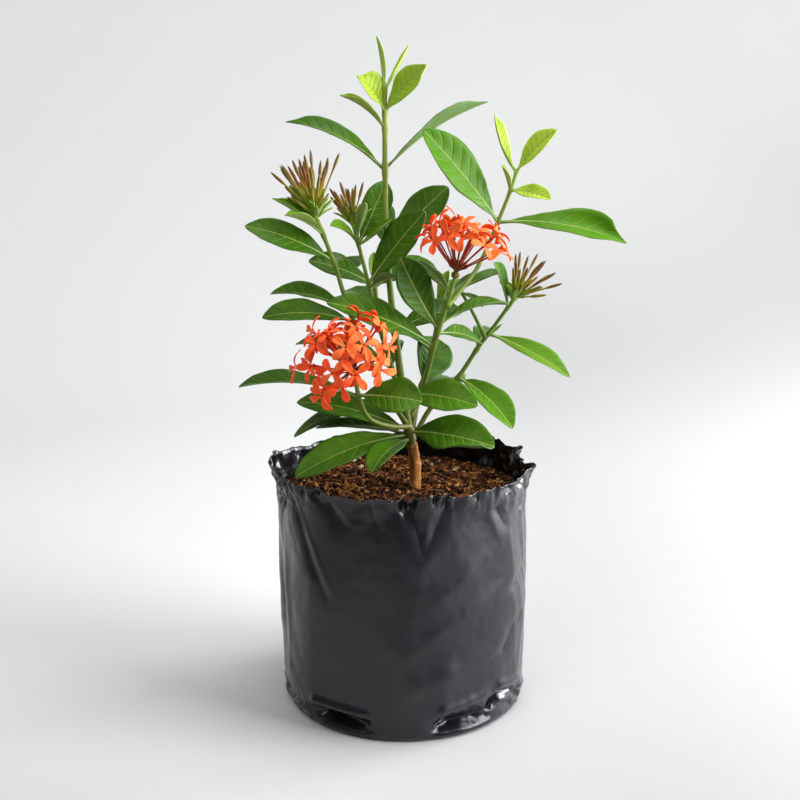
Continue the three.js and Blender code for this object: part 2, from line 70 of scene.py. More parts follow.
# Folds: start heading and height, end heading and height, depth (a ridge if negative), width.
CREASES = [
    (214, 163, 236, 98, 2.4, 7), (203, 150, 210, 60, 1.4, 8), (190, 120, 205, 40, 1.8, 7),
    (230, 164, 242, 146, 2.6, 6), (198, 142, 197, 24, 1.0, 7), (224, 11, 252, 9, 2.0, 5),
    (196, 9, 218, 9, 1.6, 5), (271, 165, 272, 154, 2.2, 5), (274, 160, 277, 131, 2.0, 5),
    (289, 163, 280, 131, 1.6, 6), (276, 128, 270, 62, -1.3, 10), (270, 62, 262, 24, -1.3, 10),
    (288, 45, 286, 20, -1.0, 9), (286, 7, 309, 10, 2.6, 5), (314, 17, 341, 5, 2.6, 5),
    (281, 73, 326, 104, -0.9, 8), (286, 99, 309, 119, -0.8, 8), (274, 39, 321, 59, -0.7, 9),
    (328, 94, 344, 100, 1.2, 6), (321, 53, 328, 68, 1.0, 6), (317, 150, 321, 139, 1.2, 5),
    (20, 150, 48, 82, 2.2, 8), (64, 118, 92, 40, 1.8, 9), (104, 160, 118, 104, 2.0, 7),
    (140, 96, 164, 34, 2.0, 8), (34, 34, 74, 12, 2.4, 7), (118, 28, 156, 10, 2.4, 7),
]
# Sharper creases in the same film, drawn in the same way.
SHARP_CREASES = [
    (211, 160, 235, 96, 1.6, 1.8), (215, 163, 238, 100, -1.6, 2.2), (205, 152, 219, 118, 0.6, 1.6),
    (233, 165, 243, 144, 1.1, 1.6), (237, 164, 246, 148, -0.7, 1.8), (199, 140, 200, 88, 0.7, 2.2),
    (194, 112, 199, 44, 0.7, 2.0), (207, 84, 204, 30, -0.5, 2.6), (270, 166, 271, 155, 1.2, 1.4),
    (274, 163, 278, 130, 1.3, 1.5), (290, 164, 279, 128, 0.9, 1.8), (283, 160, 279, 138, -0.8, 2.2),
    (327, 93, 345, 101, 0.9, 1.4), (320, 52, 329, 70, 0.8, 1.4), (332, 66, 341, 84, 0.7, 1.5),
    (316, 152, 321, 138, 0.9, 1.3), (334, 130, 346, 70, 0.6, 2.2), (341, 156, 349, 108, 0.6, 2.0),
    (223, 12, 254, 12, 1.2, 1.3), (222, 17, 252, 19, -0.9, 2.2), (286, 8, 313, 13, 1.2, 1.3),
    (290, 14, 316, 19, -1.0, 2.2), (313, 13, 317, 20, 1.0, 1.3), (318, 19, 332, 14, 1.1, 1.4),
    (318, 23, 336, 20, -0.9, 2.2), (332, 14, 342, 4, 1.0, 1.4), (190, 6, 222, 5, 1.0, 1.4),
    (12, 150, 40, 96, 0.8, 2.0), (58, 126, 84, 60, 0.7, 2.2), (96, 158, 112, 112, 0.9, 1.8),
    (132, 104, 158, 44, 0.7, 2.2), (150, 160, 162, 120, 0.8, 1.8), (30, 40, 66, 16, 0.9, 1.8),
    (116, 34, 150, 14, 0.9, 1.8), (78, 24, 104, 16, 0.8, 1.6), (168, 150, 176, 96, 0.7, 2.0),
]
# Broad flats between the folds, where the film is pulled straight from fold to fold.
FLATS = [
    (248, 150, 247, 24, 3.0, 25), (303, 140, 304, 26, 2.4, 27), (212, 120, 210, 40, 1.0, 14),
    (345, 130, 348, 40, 1.2, 18), (28, 120, 30, 30, 1.6, 24), (84, 130, 82, 30, 1.6, 26),
    (134, 130, 136, 30, 1.6, 24), (174, 120, 172, 40, 1.2, 16),
]
# Ridges where two flats meet at an edge that runs down the wall.
RIDGES = [
    (279, 130, 272, 78, -3.0, 15), (272, 64, 273, 54, -1.8, 13), (273, 42, 262, 8, -2.2, 10),
    (277, 40, 286, 31, -1.7, 9), (287, 24, 285, 12, -1.7, 8), (227, 104, 223, 24, -2.4, 12),
    (217, 160, 237, 98, -2.0, 6), (282, 74, 322, 101, -1.3, 6), (286, 100, 310, 121, -1.2, 6),
    (275, 40, 318, 58, -1.1, 7), (324, 132, 331, 30, -1.6, 7), (205, 100, 203, 30, -1.2, 7),
    (337, 142, 344, 88, -1.2, 4), (332, 96, 339, 60, -1.2, 4), (339, 70, 334, 30, -1.0, 4),
    (311, 150, 318, 128, -1.2, 4), (229, 11, 251, 8, 4.5, 4.6),
    (235, 10, 246, 8, 6.0, 5), (286, 9, 306, 13, 3.5, 5.6), (291, 10, 302, 12, 4.4, 6),
    (30, 130, 44, 40, -1.2, 10), (78, 140, 84, 30, -1.2, 11), (126, 130, 132, 24, -1.3, 11),
    (160, 140, 166, 40, -1.0, 9), (52, 70, 98, 96, -0.8, 7), (108, 60, 150, 84, -0.8, 7),
]
# Tucks of the foot: a hollow and its slit, with the film's lip below and a soft roll above.
TUCKS = [
    (230, 12, 251, 10, 2.4, 1.8), (226, 19, 254, 17, -3.4, 4.0), (288, 13, 306, 16, 1.8, 1.6),
    (286, 21, 309, 25, -2.8, 4.2), (229, 3, 257, 2, -1.0, 2.6), (286, 3, 312, 5, -1.0, 3.0),
    (313, 14, 318, 21, 3.6, 1.6), (318, 22, 331, 18, 4.0, 1.7), (319, 16, 331, 12, -3.4, 2.6),
    (319, 28, 334, 24, -2.0, 3.0), (332, 17, 343, 5, 3.6, 1.6), (331, 9, 339, 3, -1.6, 2.2),
    (340, 14, 352, 9, -1.8, 2.6), (191, 2, 219, 4, 2.0, 1.4), (192, 7, 219, 9, -1.8, 2.6),
    (36, 28, 72, 13, 2.0, 1.6), (36, 22, 70, 8, -1.6, 2.6), (120, 22, 154, 11, 2.0, 1.6),
    (122, 17, 152, 6, -1.6, 2.6), (82, 10, 108, 12, 2.0, 1.6), (84, 5, 106, 7, -1.4, 2.4),
]
# Gathers of the rim: heading, half spread, how far the edge moves in or out, its lift.
RIM_GATHERS = [
    (176, 9, 3.2, 5.0), (196, 8, -3.4, -2.0), (247, 7, -2.6, -2.6), (270, 6, -3.0, -1.8),
    (283, 5, 1.2, 1.6), (296, 6, -1.2, -1.0), (352, 7, 2.4, 1.6), (6, 6, -4.0, 1.0),
    (18, 7, 2.2, 5.0), (31, 6, -4.2, 4.4), (43, 7, 1.6, 7.0), (56, 6, -3.4, 4.0),
    (84, 10, -2.2, 1.4), (112, 9, 1.6, 2.2), (140, 9, -2.8, -0.6), (158, 8, 1.0, 1.8),
]
# Where the rim is ruffled: from and to heading, spacing of the ruffles, how far they stand out.
RIM_RUFFLES = [
    (328, 436, 6.4, 2.0), (164, 214, 5.4, 2.0), (214, 328, 9.0, 0.8), (76, 164, 8.0, 1.4),
]
# Small curls of the front edge, where two gathers end: heading, half spread, push and lift.
RIM_CURLS = [
    (265.6, 1.1, 2.0, 0.8), (268.2, 1.0, 4.2, 1.6), (270.6, 0.9, -3.2, 1.0),
    (272.8, 1.0, 3.6, -0.8), (275.2, 1.2, -1.6, 0.6), (281.2, 1.1, 3.0, 1.2),
    (283.4, 0.9, -2.8, 0.6), (285.8, 1.1, 3.4, 1.4), (288.4, 1.0, -2.2, 0.4),
    (291.0, 1.1, 2.0, 0.6), (219.0, 1.5, 2.6, 1.4), (222.6, 1.2, -2.6, 0.6),
    (226.0, 1.5, 2.8, 1.2), (229.8, 1.3, -2.2, 0.4), (234.0, 1.7, 2.4, 1.6),
    (238.4, 1.4, -1.8, -2.6), (298.0, 1.6, 1.6, 1.2), (303.5, 1.4, -1.6, 0.4),
    (308.0, 1.6, 1.8, 1.4), (314.0, 1.5, -1.8, 0.6),
]
RIM_CRINKLES = 64
RIM_PUCKERS = 90
FOOT_PLEATS = 44
# Stretches of the bag where these small folds are drawn, by first heading and span.
ALL_ROUND = (0, 360)
CRINKLED = ((340, 90), (168, 40))
PUCKERED = ((335, 100), (165, 50))
PLEATED = (346, 236)
PUCKER_TOP = 166
PLEAT_FOOT = 2
RUFFLE_SPREAD = 0.4
# How far below the edge of the rim its ruffles, its crinkles and its roll begin.
RUFFLE_BAND = (17, 4)
EDGE_BAND = 9
ROLL_BAND = 2.6
TUCK_FADE = 4
CRISP_EDGE = 0.03
# Slow ripples of the wall, and sharp crumpling: most at the two corners of the rim, by their
# headings and half spreads, then along the rest of the rim and the foot.
RIPPLE = 0.7
RIPPLE_PACES = (0.045, 0.15)
CRUMPLE = 2.2
CRUMPLE_PACES = (0.085, 0.19)
CRUMPLE_MEAN = 0.3
CRUMPLED_CORNERS = ((190, 20), (18, 44))
CORNER_CRUMPLE = 2.0
RIM_CRUMPLE = 0.2
FOOT_CRUMPLE = 0.25


def smoothstep(value, low, high):
    share = np.clip((value - low) / (high - low), 0, 1)
    return share * share * (3 - 2 * share)


def towards_rim(height, band):
    return smoothstep(height, BAG_HEIGHT - band, BAG_HEIGHT)


def turn_between(heading_a, heading_b):
    return (heading_a - heading_b + 180) % 360 - 180


def bell(heading, centre, half):
    return np.exp(-(turn_between(heading, centre) / half) ** 2)


def draw(seed):
    value = sin(seed * 12.9898) * 43758.5453
    return value - floor(value)


def heading_in(stretch, seed):
    first, span = stretch
    return (first + span * draw(seed)) % 360


def fold_depth(heading, height, folds, crisp=False):
    """Depth of a set of folds: round-bottomed ones, or crisp ones that end in an edge."""
    depth = np.zeros_like(heading)
    for from_heading, from_height, to_heading, to_height, deep, wide in folds:
        run_x = radians(turn_between(to_heading, from_heading)) * BAG_BELLY_RADIUS
        run_z = to_height - from_height
        x = np.radians(turn_between(heading, from_heading)) * BAG_BELLY_RADIUS
        z = height - from_height
        share = np.clip((x * run_x + z * run_z) / (run_x ** 2 + run_z ** 2), 0, 1)
        away = ((x - run_x * share) ** 2 + (z - run_z * share) ** 2) / wide ** 2
        shape = np.exp(-np.sqrt(away + CRISP_EDGE)) if crisp else np.exp(-away)
        depth += deep * shape * (1 - CREASE_FADE * share)
    return depth


def rim_move(heading, gathers):
    """How far a set of gathers moves the rim out, and how far it lifts it."""
    out, lift = np.zeros_like(heading), np.zeros_like(heading)
    for centre, half, push, rise in gathers:
        share = bell(heading, centre, half)
        out += push * share
        lift += rise * share
    return out, lift


def rim_ruffles():
    """Ruffles that stand out and in by turns, along each stretch of the rim."""
    for first, last, pace, push in RIM_RUFFLES:
        heading, side = first, 1
        while heading < last:
            heading += pace * (0.65 + 0.6 * draw(heading))
            side = -side
            size = side * push * (0.5 + draw(heading + 0.3))
            lift = 0.2 * size + 0.6 * (draw(heading + 0.6) - 0.5)
            yield heading % 360, pace * RUFFLE_SPREAD, size, lift


def film_crinkles():
    """Small crinkles of the rim's edge, most where the rim is gathered hardest."""
    for item in range(RIM_CRINKLES):
        heading = heading_in(ALL_ROUND, item + 0.11)
        if item % 4 == 1:
            heading = heading_in(CRINKLED[0], item + 0.17)
        if item % 4 == 3:
            heading = heading_in(CRINKLED[1], item + 0.19)
        push = 3.0 * draw(item + 0.31) - 1.6
        lift = 2.6 * draw(item + 0.41) - 1.2
        yield heading, 1.3 + 2.2 * draw(item + 0.23), push, lift


def film_puckers():
    """Short creases that hang from the rim and slant a little."""
    for item in range(RIM_PUCKERS):
        heading = heading_in(ALL_ROUND, item + 0.53)
        if item % 3 == 0:
            heading = heading_in(PUCKERED[0], item + 0.57)
        if item % 3 == 1:
            heading = heading_in(PUCKERED[1], item + 0.59)
        length = 7 + 26 * draw(item + 0.61) ** 2
        slant = 16 * (draw(item + 0.67) - 0.5)
        deep = (0.3 + 1.0 * draw(item + 0.71)) * (1 if draw(item + 0.73) > 0.35 else -0.8)
        wide = 0.9 + 1.6 * draw(item + 0.79)
        yield heading, PUCKER_TOP, (heading + slant) % 360, PUCKER_TOP - length, deep, wide


def film_pleats():
    """Pleats of the foot, where the round wall is tucked under."""
    for item in range(FOOT_PLEATS):
        heading = heading_in(PLEATED, item + 0.83)
        top = 5 + 13 * draw(item + 0.87) ** 2
        slant = 22 * (draw(item + 0.89) - 0.5)
        deep = (0.2 + 0.6 * draw(item + 0.91)) * (1 if draw(item + 0.93) > 0.5 else -1)
        wide = 1.0 + 1.8 * draw(item + 0.97)
        yield heading, PLEAT_FOOT, (heading + slant) % 360, top, deep, wide


RUFFLES = list(rim_ruffles())
CRINKLES = [*film_crinkles(), *RIM_CURLS]
PUCKERS = list(film_puckers())
PLEATS = list(film_pleats())


def film_radius(heading, height):
    """Radius of the film at a heading and height, with every fold pressed in."""
    belly = np.sin((pi / 2) * (height / BAG_BELLY_HEIGHT))
    plain = BAG_FOOT_RADIUS + (BAG_BELLY_RADIUS - BAG_FOOT_RADIUS) * belly
    near_rim = towards_rim(height, RIM_BAND)
    ruffled = smoothstep(height, BAG_HEIGHT - RUFFLE_BAND[0], BAG_HEIGHT - RUFFLE_BAND[1])
    flare = (RIM_FLARE + rim_move(heading, RIM_GATHERS)[0]) * near_rim
    flare += rim_move(heading, RUFFLES)[0] * near_rim * ruffled
    crinkle = rim_move(heading, CRINKLES)[0] * towards_rim(height, EDGE_BAND)
    crinkle += RIM_ROLL * towards_rim(height, ROLL_BAND)
    broad = fold_depth(heading, height, CREASES + FLATS)
    broad += fold_depth(heading, height, RIDGES, crisp=True)
    sharp = fold_depth(heading, height, TUCKS + PLEATS)
    sharp += fold_depth(heading, height, SHARP_CREASES + PUCKERS, crisp=True)
    off_foot = smoothstep(height, 0, BAG_CORNER * 2)
    return plain + flare + crinkle - broad * off_foot - sharp * smoothstep(height, 0, TUCK_FADE)


def noise_at(points, pace):
    return np.array([noise.noise(Vector(point) * pace) for point in points])


def film_shape(points):
    """Moves the points of a plain round bag to the creased and gathered one."""
    x, y, z = points.T
    radius = np.hypot(x, y)
    heading = np.degrees(np.arctan2(y, x))
    on_wall = smoothstep(radius, BAG_FOOT_RADIUS - FOOT_TURN, BAG_FOOT_RADIUS - FOOT_TURN / 3)
    shift = (film_radius(heading, z) - BAG_BELLY_RADIUS) * on_wall
    slow, quick = (noise_at(points, pace) for pace in RIPPLE_PACES)
    shift += RIPPLE * (slow + 0.35 * quick) * on_wall * smoothstep(z, 1, 8)
    slow, quick = (abs(noise_at(points, pace)) for pace in CRUMPLE_PACES)
    gathered = sum(bell(heading, *corner) for corner in CRUMPLED_CORNERS)
    at_rim = smoothstep(z, BAG_HEIGHT - 34, BAG_HEIGHT - 8)
    at_rim = at_rim * (RIM_CRUMPLE + CORNER_CRUMPLE * gathered)
    at_foot = smoothstep(z, 0, 6) * (1 - smoothstep(z, 12, 34)) * FOOT_CRUMPLE
    shift -= CRUMPLE * (slow + 0.7 * quick - CRUMPLE_MEAN) * (at_rim + at_foot) * on_wall
    lift = rim_move(heading, RIM_GATHERS)[1] * towards_rim(z, RIM_BAND)
    edge_lift = rim_move(heading, CRINKLES)[1] + rim_move(heading, RUFFLES)[1]
    lift += edge_lift * towards_rim(z, EDGE_BAND)
    scale = np.where(radius > 1e-6, (radius + shift) / np.maximum(radius, 1e-6), 1)
    return np.stack([x * scale + BAG_LEAN * z / BAG_HEIGHT, y * scale, z + lift], 1)


METRE = 0.001


def tone(code):
    """A colour written as 0xRRGGBB, in the linear values that a shader takes."""
    parts = [((code >> shift) & 255) / 255 for shift in (16, 8, 0)]
    return (*[p / 12.92 if p <= 0.04045 else ((p + 0.055) / 1.055) ** 2.4 for p in parts], 1)


class Wire:
    """One socket of a finish. Plain arithmetic on it adds the Math nodes."""

    def __init__(self, finish, socket):
        self.finish = finish
        self.socket = socket

    def maths(self, operation, *values):
        sockets = dict(enumerate(values))
        return self.finish.node("ShaderNodeMath", {"operation": operation}, sockets)

    def __add__(self, other):
        return self.maths("ADD", self, other)

    def __sub__(self, other):
        return self.maths("SUBTRACT", self, other)

    def __mul__(self, other):
        return self.maths("MULTIPLY", self, other)

    def __pow__(self, other):
        return self.maths("POWER", self, other)

    def __radd__(self, other):
        return self.maths("ADD", other, self)

    def __rsub__(self, other):
        return self.maths("SUBTRACT", other, self)

    def __rmul__(self, other):
        return self.maths("MULTIPLY", other, self)

    def __abs__(self):
        return self.maths("ABSOLUTE", self)

    def cosine(self):
        return self.maths("COSINE", self)


class Finish:
    """One surface finish: a Principled shader and the nodes that feed it."""

    def __init__(self, name, **sockets):
        self.material = bpy.data.materials.new(name)
        self.material.use_nodes = True
        self.tree = self.material.node_tree
        self.shader = self.tree.nodes["Principled BSDF"]
        for key, value in sockets.items():
            self.set(key.replace("_", " ").title().replace("Ior", "IOR"), value)

    def feed(self, socket, value):
        """Links a wire to a socket, or sets its value; a colour may be written 0xRRGGBB."""
        if isinstance(value, Wire):
            self.tree.links.new(value.socket, socket)
        elif socket.type == "RGBA" and isinstance(value, int):
            socket.default_value = tone(value)
        else:
            socket.default_value = value

    def set(self, key, value):
        self.feed(self.shader.inputs[key], value)

    def node(self, kind, settings=None, sockets=None, output=0):
        made = self.tree.nodes.new(kind)
        for key, value in (settings or {}).items():
            if key == "stops":
                for place, (position, code) in enumerate(value):
                    elements = made.color_ramp.elements
                    stop = elements[place] if place < 2 else elements.new(position)
                    stop.position, stop.color = position, tone(code)
            else:
                setattr(made, key, value)
        for key, value in (sockets or {}).items():
            self.feed(made.inputs[key], value)
        return Wire(self, made.outputs[output])

    def place(self):
        return self.node("ShaderNodeTexCoord", output=3)

    def stretched(self, scale):
        return self.node("ShaderNodeMapping", None, {"Vector": self.place(), "Scale": scale})

    def axis(self, index, vector=None):
        return self.node("ShaderNodeSeparateXYZ", None, {0: vector or self.place()}, output=index)

    def attribute(self, name):
        return self.node("ShaderNodeAttribute", {"attribute_name": name}, output=2)

    def grain(self, scale, detail=3, vector=None):
        sockets = {"Vector": vector or self.place(), "Scale": scale, "Detail": detail}
        return self.node("ShaderNodeTexNoise", None, sockets)

    def rise(self, value, low, high):
        sockets = {"Value": value, "From Min": low, "From Max": high}
        return self.node("ShaderNodeMapRange", {"interpolation_type": "SMOOTHSTEP"}, sockets)

    def mix(self, share, first, second):
        sockets = {0: share, 6: first, 7: second}
        return self.node("ShaderNodeMix", {"data_type": "RGBA"}, sockets, output=2)

    def ramp(self, value, *stops):
        return self.node("ShaderNodeValToRGB", {"stops": stops}, {"Fac": value})

    def bump(self, height, millimetres, strength=1.0):
        sockets = {"Height": height, "Distance": millimetres * METRE, "Strength": strength}
        self.set("Normal", self.node("ShaderNodeBump", None, sockets))


def add_object(name, data):
    thing = bpy.data.objects.new(name, data)
    bpy.context.scene.collection.objects.link(thing)
    return thing


def add_mesh(name, bm, finish):
    mesh = bpy.data.meshes.new(name)
    bm.to_mesh(mesh)
    bm.free()
    mesh.shade_smooth()
    mesh.materials.append(finish.material)
    return add_object(name, mesh)


def finish_piece(name, bm, finish, nodes):
    """Makes a mesh that was modelled in millimetres a piece of the object, in metres."""
    bmesh.ops.scale(bm, vec=(METRE,) * 3, verts=bm.verts[:])
    piece = add_mesh(name, bm, finish)
    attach(piece, "root")
    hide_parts(*nodes)


def turned(profile, steps):
    """A closed shape spun round Z from a [radius, height] profile that ends on the axis."""
    bm = bmesh.new()
    line = [bm.verts.new((radius, 0, height)) for radius, height in profile]
    for first, second in zip(line, line[1:]):
        bm.edges.new((first, second))
    bmesh.ops.spin(bm, geom=bm.verts[:] + bm.edges[:], axis=(0, 0, 1), cent=(0, 0, 0),
                   dvec=(0, 0, 0), angle=tau, steps=steps, use_merge=True,
                   use_duplicate=False)
    bmesh.ops.remove_doubles(bm, verts=bm.verts[:], dist=1e-5)
    bmesh.ops.recalc_face_normals(bm, faces=bm.faces[:])
    return bm


# The film's profile, from the middle of its floor out, up, over the rim and back inside. Its
# inner face follows the film at the rim, and stands back from the folds where soil hides it.
flat = BAG_FOOT_RADIUS - FOOT_TURN
foot_rows = [(0, 0), (flat * 0.6, 0), (flat, 0), *FOOT_ROUND]
outer_heights = [*np.arange(BAG_CORNER, FOOT_TOP, FOOT_STEP),
                 *np.arange(FOOT_TOP, RIM_FROM, WALL_STEP),
                 *np.linspace(RIM_FROM, BAG_HEIGHT, RIM_ROWS)]
buried_heights = (*range(140, 29, -10), 25, 20, 16, 13, 10, 7, BAG_CORNER)
outer_rows = [(BAG_BELLY_RADIUS, z) for z in outer_heights]
inner_rows = [(BAG_BELLY_RADIUS - FILM_SHOWN, z) for z in outer_heights[:-SHOWN_ROWS - 1:-1]]
inner_rows += [(BAG_BELLY_RADIUS - FILM_BURIED, z) for z in buried_heights]
floor_rows = [FLOOR_ROUND, (flat, FILM_SHOWN), (0, FILM_SHOWN)]
sheet = turned(foot_rows + outer_rows + inner_rows + floor_rows, BAG_TURNS)
for vert, point in zip(sheet.verts, film_shape(np.array([vert.co for vert in sheet.verts]))):
    vert.co = point

film = Finish("black_polythene", specular_ior_level=0.35, specular_tint=(0.9, 0.9, 1, 1),
              coat_roughness=0.09, coat_weight=0.34)
scuffs = film.grain(90, 5)
haze = film.grain(14, 2)
level = film.axis(2)
pulled = film.rise(level, 0.014, 0.034) - film.rise(level, 0.142, 0.158)
film.set("Base Color", film.mix(film.rise(scuffs, 0.45, 0.8), 0x100f12, 0x18171d))
film.set("Roughness", 0.16 + 0.14 * pulled + 0.12 * haze + 0.08 * scuffs)
film.bump(film.grain(55) * 0.8 + film.grain(240, 4) * 0.12, 0.7, 0.55)
finish_piece("film_bag", sheet, film, ["bag"])

# ---- The soil ----
# Moist coir potting mix that fills the bag nearly to its rim: a lumpy body under a loose top
# of brown crumbs, tan coir fibres and a few white grains of perlite.
SOIL_LEVEL = 148
SOIL_MOUND = 2.5
SOIL_RELIEF = 1.3
# Grain of the soil's top: depth and pace of three noises, and how much lower it then lies.
SOIL_GRAIN = ((1.1, 0.22), (0.8, 0.5), (0.5, 1.1))
SOIL_SUNK = 0.8
SOIL_FLOOR = 1.6
SOIL_EDGE = 83.2
EDGE_BANK = 1.2
EDGE_BANK_WIDTH = 5
WALL_ROOM = 5
EDGE_ROOM = 1.6
SOIL_WALL = (BAG_CORNER, 8, 11, 14, 18, 23, 30, 56, 84, 110, 132)
SOIL_TURNS = 180
SOIL_RINGS = 64
CRUMBS = 4096
CRUMB_CORNERS = 12
CRUMB_SEAT = 0.25
LOOSE_EDGE = 3.5
LOOSE_SHIFT = 2
FIBRES = 420
FIBRE_EDGE = 10


def soil_top(x, y):
    """Height of the soil's top: a mound with lumps and clods, and finer grains over them."""
    mound = SOIL_MOUND * (1 - hypot(x, y) / BAG_BELLY_RADIUS)
    lump = sin(x * 0.21 + 1.3) * cos(y * 0.17 + 0.4)
    clod = sin(x * 0.43 + 2.1) * sin(y * 0.39 + 0.9)
    spot = Vector((x, y, 0))
    grains = sum(depth * noise.noise(spot * pace) for depth, pace in SOIL_GRAIN)
    return SOIL_LEVEL + mound + SOIL_RELIEF * (lump + 0.6 * clod) + grains


floor_line = [(0, SOIL_FLOOR), (flat - 2, SOIL_FLOOR)]
wall_line = [(SOIL_EDGE, z) for z in SOIL_WALL]
top_line = [(radius, SOIL_LEVEL) for radius in np.linspace(SOIL_EDGE, 0, SOIL_RINGS)]
body = turned(floor_line + wall_line + top_line, SOIL_TURNS)
x, y, z = np.array([vert.co for vert in body.verts]).T
walls = film_radius(np.degrees(np.arctan2(y, x)), z) - WALL_ROOM
for vert, wall in zip(body.verts, walls):
    x, y, z = vert.co
    lean = BAG_LEAN * z / BAG_HEIGHT
    if z < SOIL_LEVEL - 1:
        scale = min(1, wall / max(hypot(x, y), 1e-6))
        vert.co = (x * scale + lean, y * scale, z)
    else:
        scale = min(1, (wall + WALL_ROOM - EDGE_ROOM) / SOIL_EDGE)
        bank = smoothstep(hypot(x, y), SOIL_EDGE - EDGE_BANK_WIDTH, SOIL_EDGE)
        x, y = x * scale, y * scale
        vert.co = (x + lean, y, soil_top(x, y) - SOIL_SUNK + EDGE_BANK * bank)

earth = Finish("coir_soil", roughness=0.95, specular_ior_level=0.15)
clods = earth.grain(260, 6)
damp = earth.rise(earth.grain(30), 0.45, 0.7)
rich = earth.ramp(clods, (0.34, 0x0a0502), (0.54, 0x2c1609), (0.68, 0x7a431c), (0.85, 0xb67a3e))
earth.set("Base Color", earth.mix(damp, rich, 0x170b05))
earth.bump(clods + 0.4 * earth.grain(900, 4), 1.6)
finish_piece("soil_body", body, earth, ["soil"])


def loose_place(radius_share, turn):
    """A place on the soil's top, even over its area, and its height there."""
    radius = (SOIL_EDGE - LOOSE_EDGE) * sqrt(radius_share)
    x, y = radius * cos(turn), radius * sin(turn)
    return Vector((x - LOOSE_SHIFT, y, soil_top(x, y) - SOIL_SUNK))


def float_layers(bm, *names):
    return {name: bm.verts.layers.float.new(name) for name in names}


def mark(vert, layers, **values):
    """Writes the values that the finish reads at a vertex."""
    for key, value in values.items():
        vert[layers[key]] = value


crumbs = bmesh.new()
layers = float_layers(crumbs, "shade")
bmesh.ops.create_icosphere(crumbs, subdivisions=1, radius=1)
while len(crumbs.verts) < CRUMBS * CRUMB_CORNERS:
    bmesh.ops.duplicate(crumbs, geom=crumbs.verts[:] + crumbs.edges[:] + crumbs.faces[:])
crumbs.verts.index_update()
for vert in crumbs.verts:
    crumb, corner = divmod(vert.index, CRUMB_CORNERS)
    if corner == 0:
        size = 0.42 + 1.7 * draw(crumb + 0.13) ** 4
        spot = loose_place(draw(crumb + 0.29), tau * draw(crumb + 0.37))
        spot.z += CRUMB_SEAT * size
        long, flatness = 0.6 + 1.6 * draw(crumb + 0.47) ** 2, 0.35 + 0.5 * draw(crumb + 0.49)
        stretch = Vector((size * long, size * 0.8, size * flatness))
        tilt = Quaternion((0, 1, 0), 1.6 * (draw(crumb + 0.61) - 0.5))
        spin = Quaternion((0, 0, 1), tau * draw(crumb + 0.57)) @ tilt
        colour = draw(crumb + 0.69)
    dent = 0.55 + 0.8 * draw(crumb * 1.7 + corner * 0.31)
    vert.co = spot + spin @ (vert.co * dent * stretch)
    mark(vert, layers, shade=colour)

coir = Finish("coir_crumbs", roughness=0.92, specular_ior_level=0.2)
coir_tone = coir.ramp(coir.attribute("shade"), (0.0, 0x0e0602), (0.3, 0x33190a), (0.55, 0x80461c),
                      (0.8, 0xb9763a), (0.95, 0xd6a068), (0.97, 0xf0e6d2))
coir.set("Base Color", coir.mix(coir.grain(420) * 0.4, coir_tone, 0x241006))
coir.bump(coir.grain(1100, 4), 0.6)
finish_piece("soil_crumbs", crumbs, coir, ["soil"])


def grid(bm, columns, rows):
    made = bmesh.ops.create_grid(bm, x_segments=columns, y_segments=rows, size=1, calc_uvs=True)
    return made["verts"]


def wrapped(bm, sides, steps, place):
    """A closed tube from a grid: place(turn, share) says where each of its points lies."""
    verts = grid(bm, sides, steps)
    for vert in verts:
        vert.co = place(pi * vert.co.x, (vert.co.y + 1) / 2)
    starts = range(0, (steps + 1) * (sides + 1), sides + 1)
    bmesh.ops.weld_verts(bm, targetmap={verts[start + sides]: verts[start] for start in starts})
    kept = [vert for vert in verts if vert.is_valid]
    edges = dict.fromkeys(edge for vert in kept for edge in vert.link_edges)
    rims = [edge for edge in edges if edge.is_boundary]
    bmesh.ops.holes_fill(bm, edges=rims, sides=0)
    return kept


fibres = bmesh.new()
layers = float_layers(fibres, "shade")
for item in range(FIBRES):
    start = loose_place(draw(item + 0.15), tau * draw(item + 0.25))
    heading = tau * draw(item + 0.35)
    length = 5 + 11 * draw(item + 0.45)
    bend = 2.4 * (draw(item + 0.55) - 0.5)
    across = Vector((-sin(heading), cos(heading), 0))
    thick = 0.16 + 0.18 * draw(item + 0.65)
    colour = 0.55 + 0.38 * draw(item + 0.75)

    def strand(turn, share):
        run = (share - 0.5) * length
        x = start.x + run * cos(heading) - bend * share * share * 3 * sin(heading)
        y = start.y + run * sin(heading) + bend * share * share * 3 * cos(heading)
        level = soil_top(x + LOOSE_SHIFT, y) - 0.3 + 1.2 * sin(pi * share)
        rise = Vector((0, 0, thick * sin(turn)))
        return Vector((x, y, level)) + across * thick * cos(turn) + rise

    if hypot(start.x, start.y) < SOIL_EDGE - FIBRE_EDGE:
        for vert in wrapped(fibres, 3, 5, strand):
            mark(vert, layers, shade=colour)
finish_piece("coir_fibres", fibres, coir, ["soil"])

# ---- The trunk ----
# The one woody foot of the shrub, thin and brown, with ridged bark and pale breathing pores.
# It comes up through the soil and carries the first fork.

# Points of the trunk's line, and its radius at foot and tip.
TRUNK = (((8, -5, 78), (7, -5, 148), (7, -5, 165), (5, -5, 180)), (4.4, 3.5))
BARK_GNARL = 0.09
BARK_RIB = 0.04
# The collar is where the trunk leaves the soil, by its share of the line.
COLLAR_SHARE = 0.68
COLLAR_SPREAD = 0.05


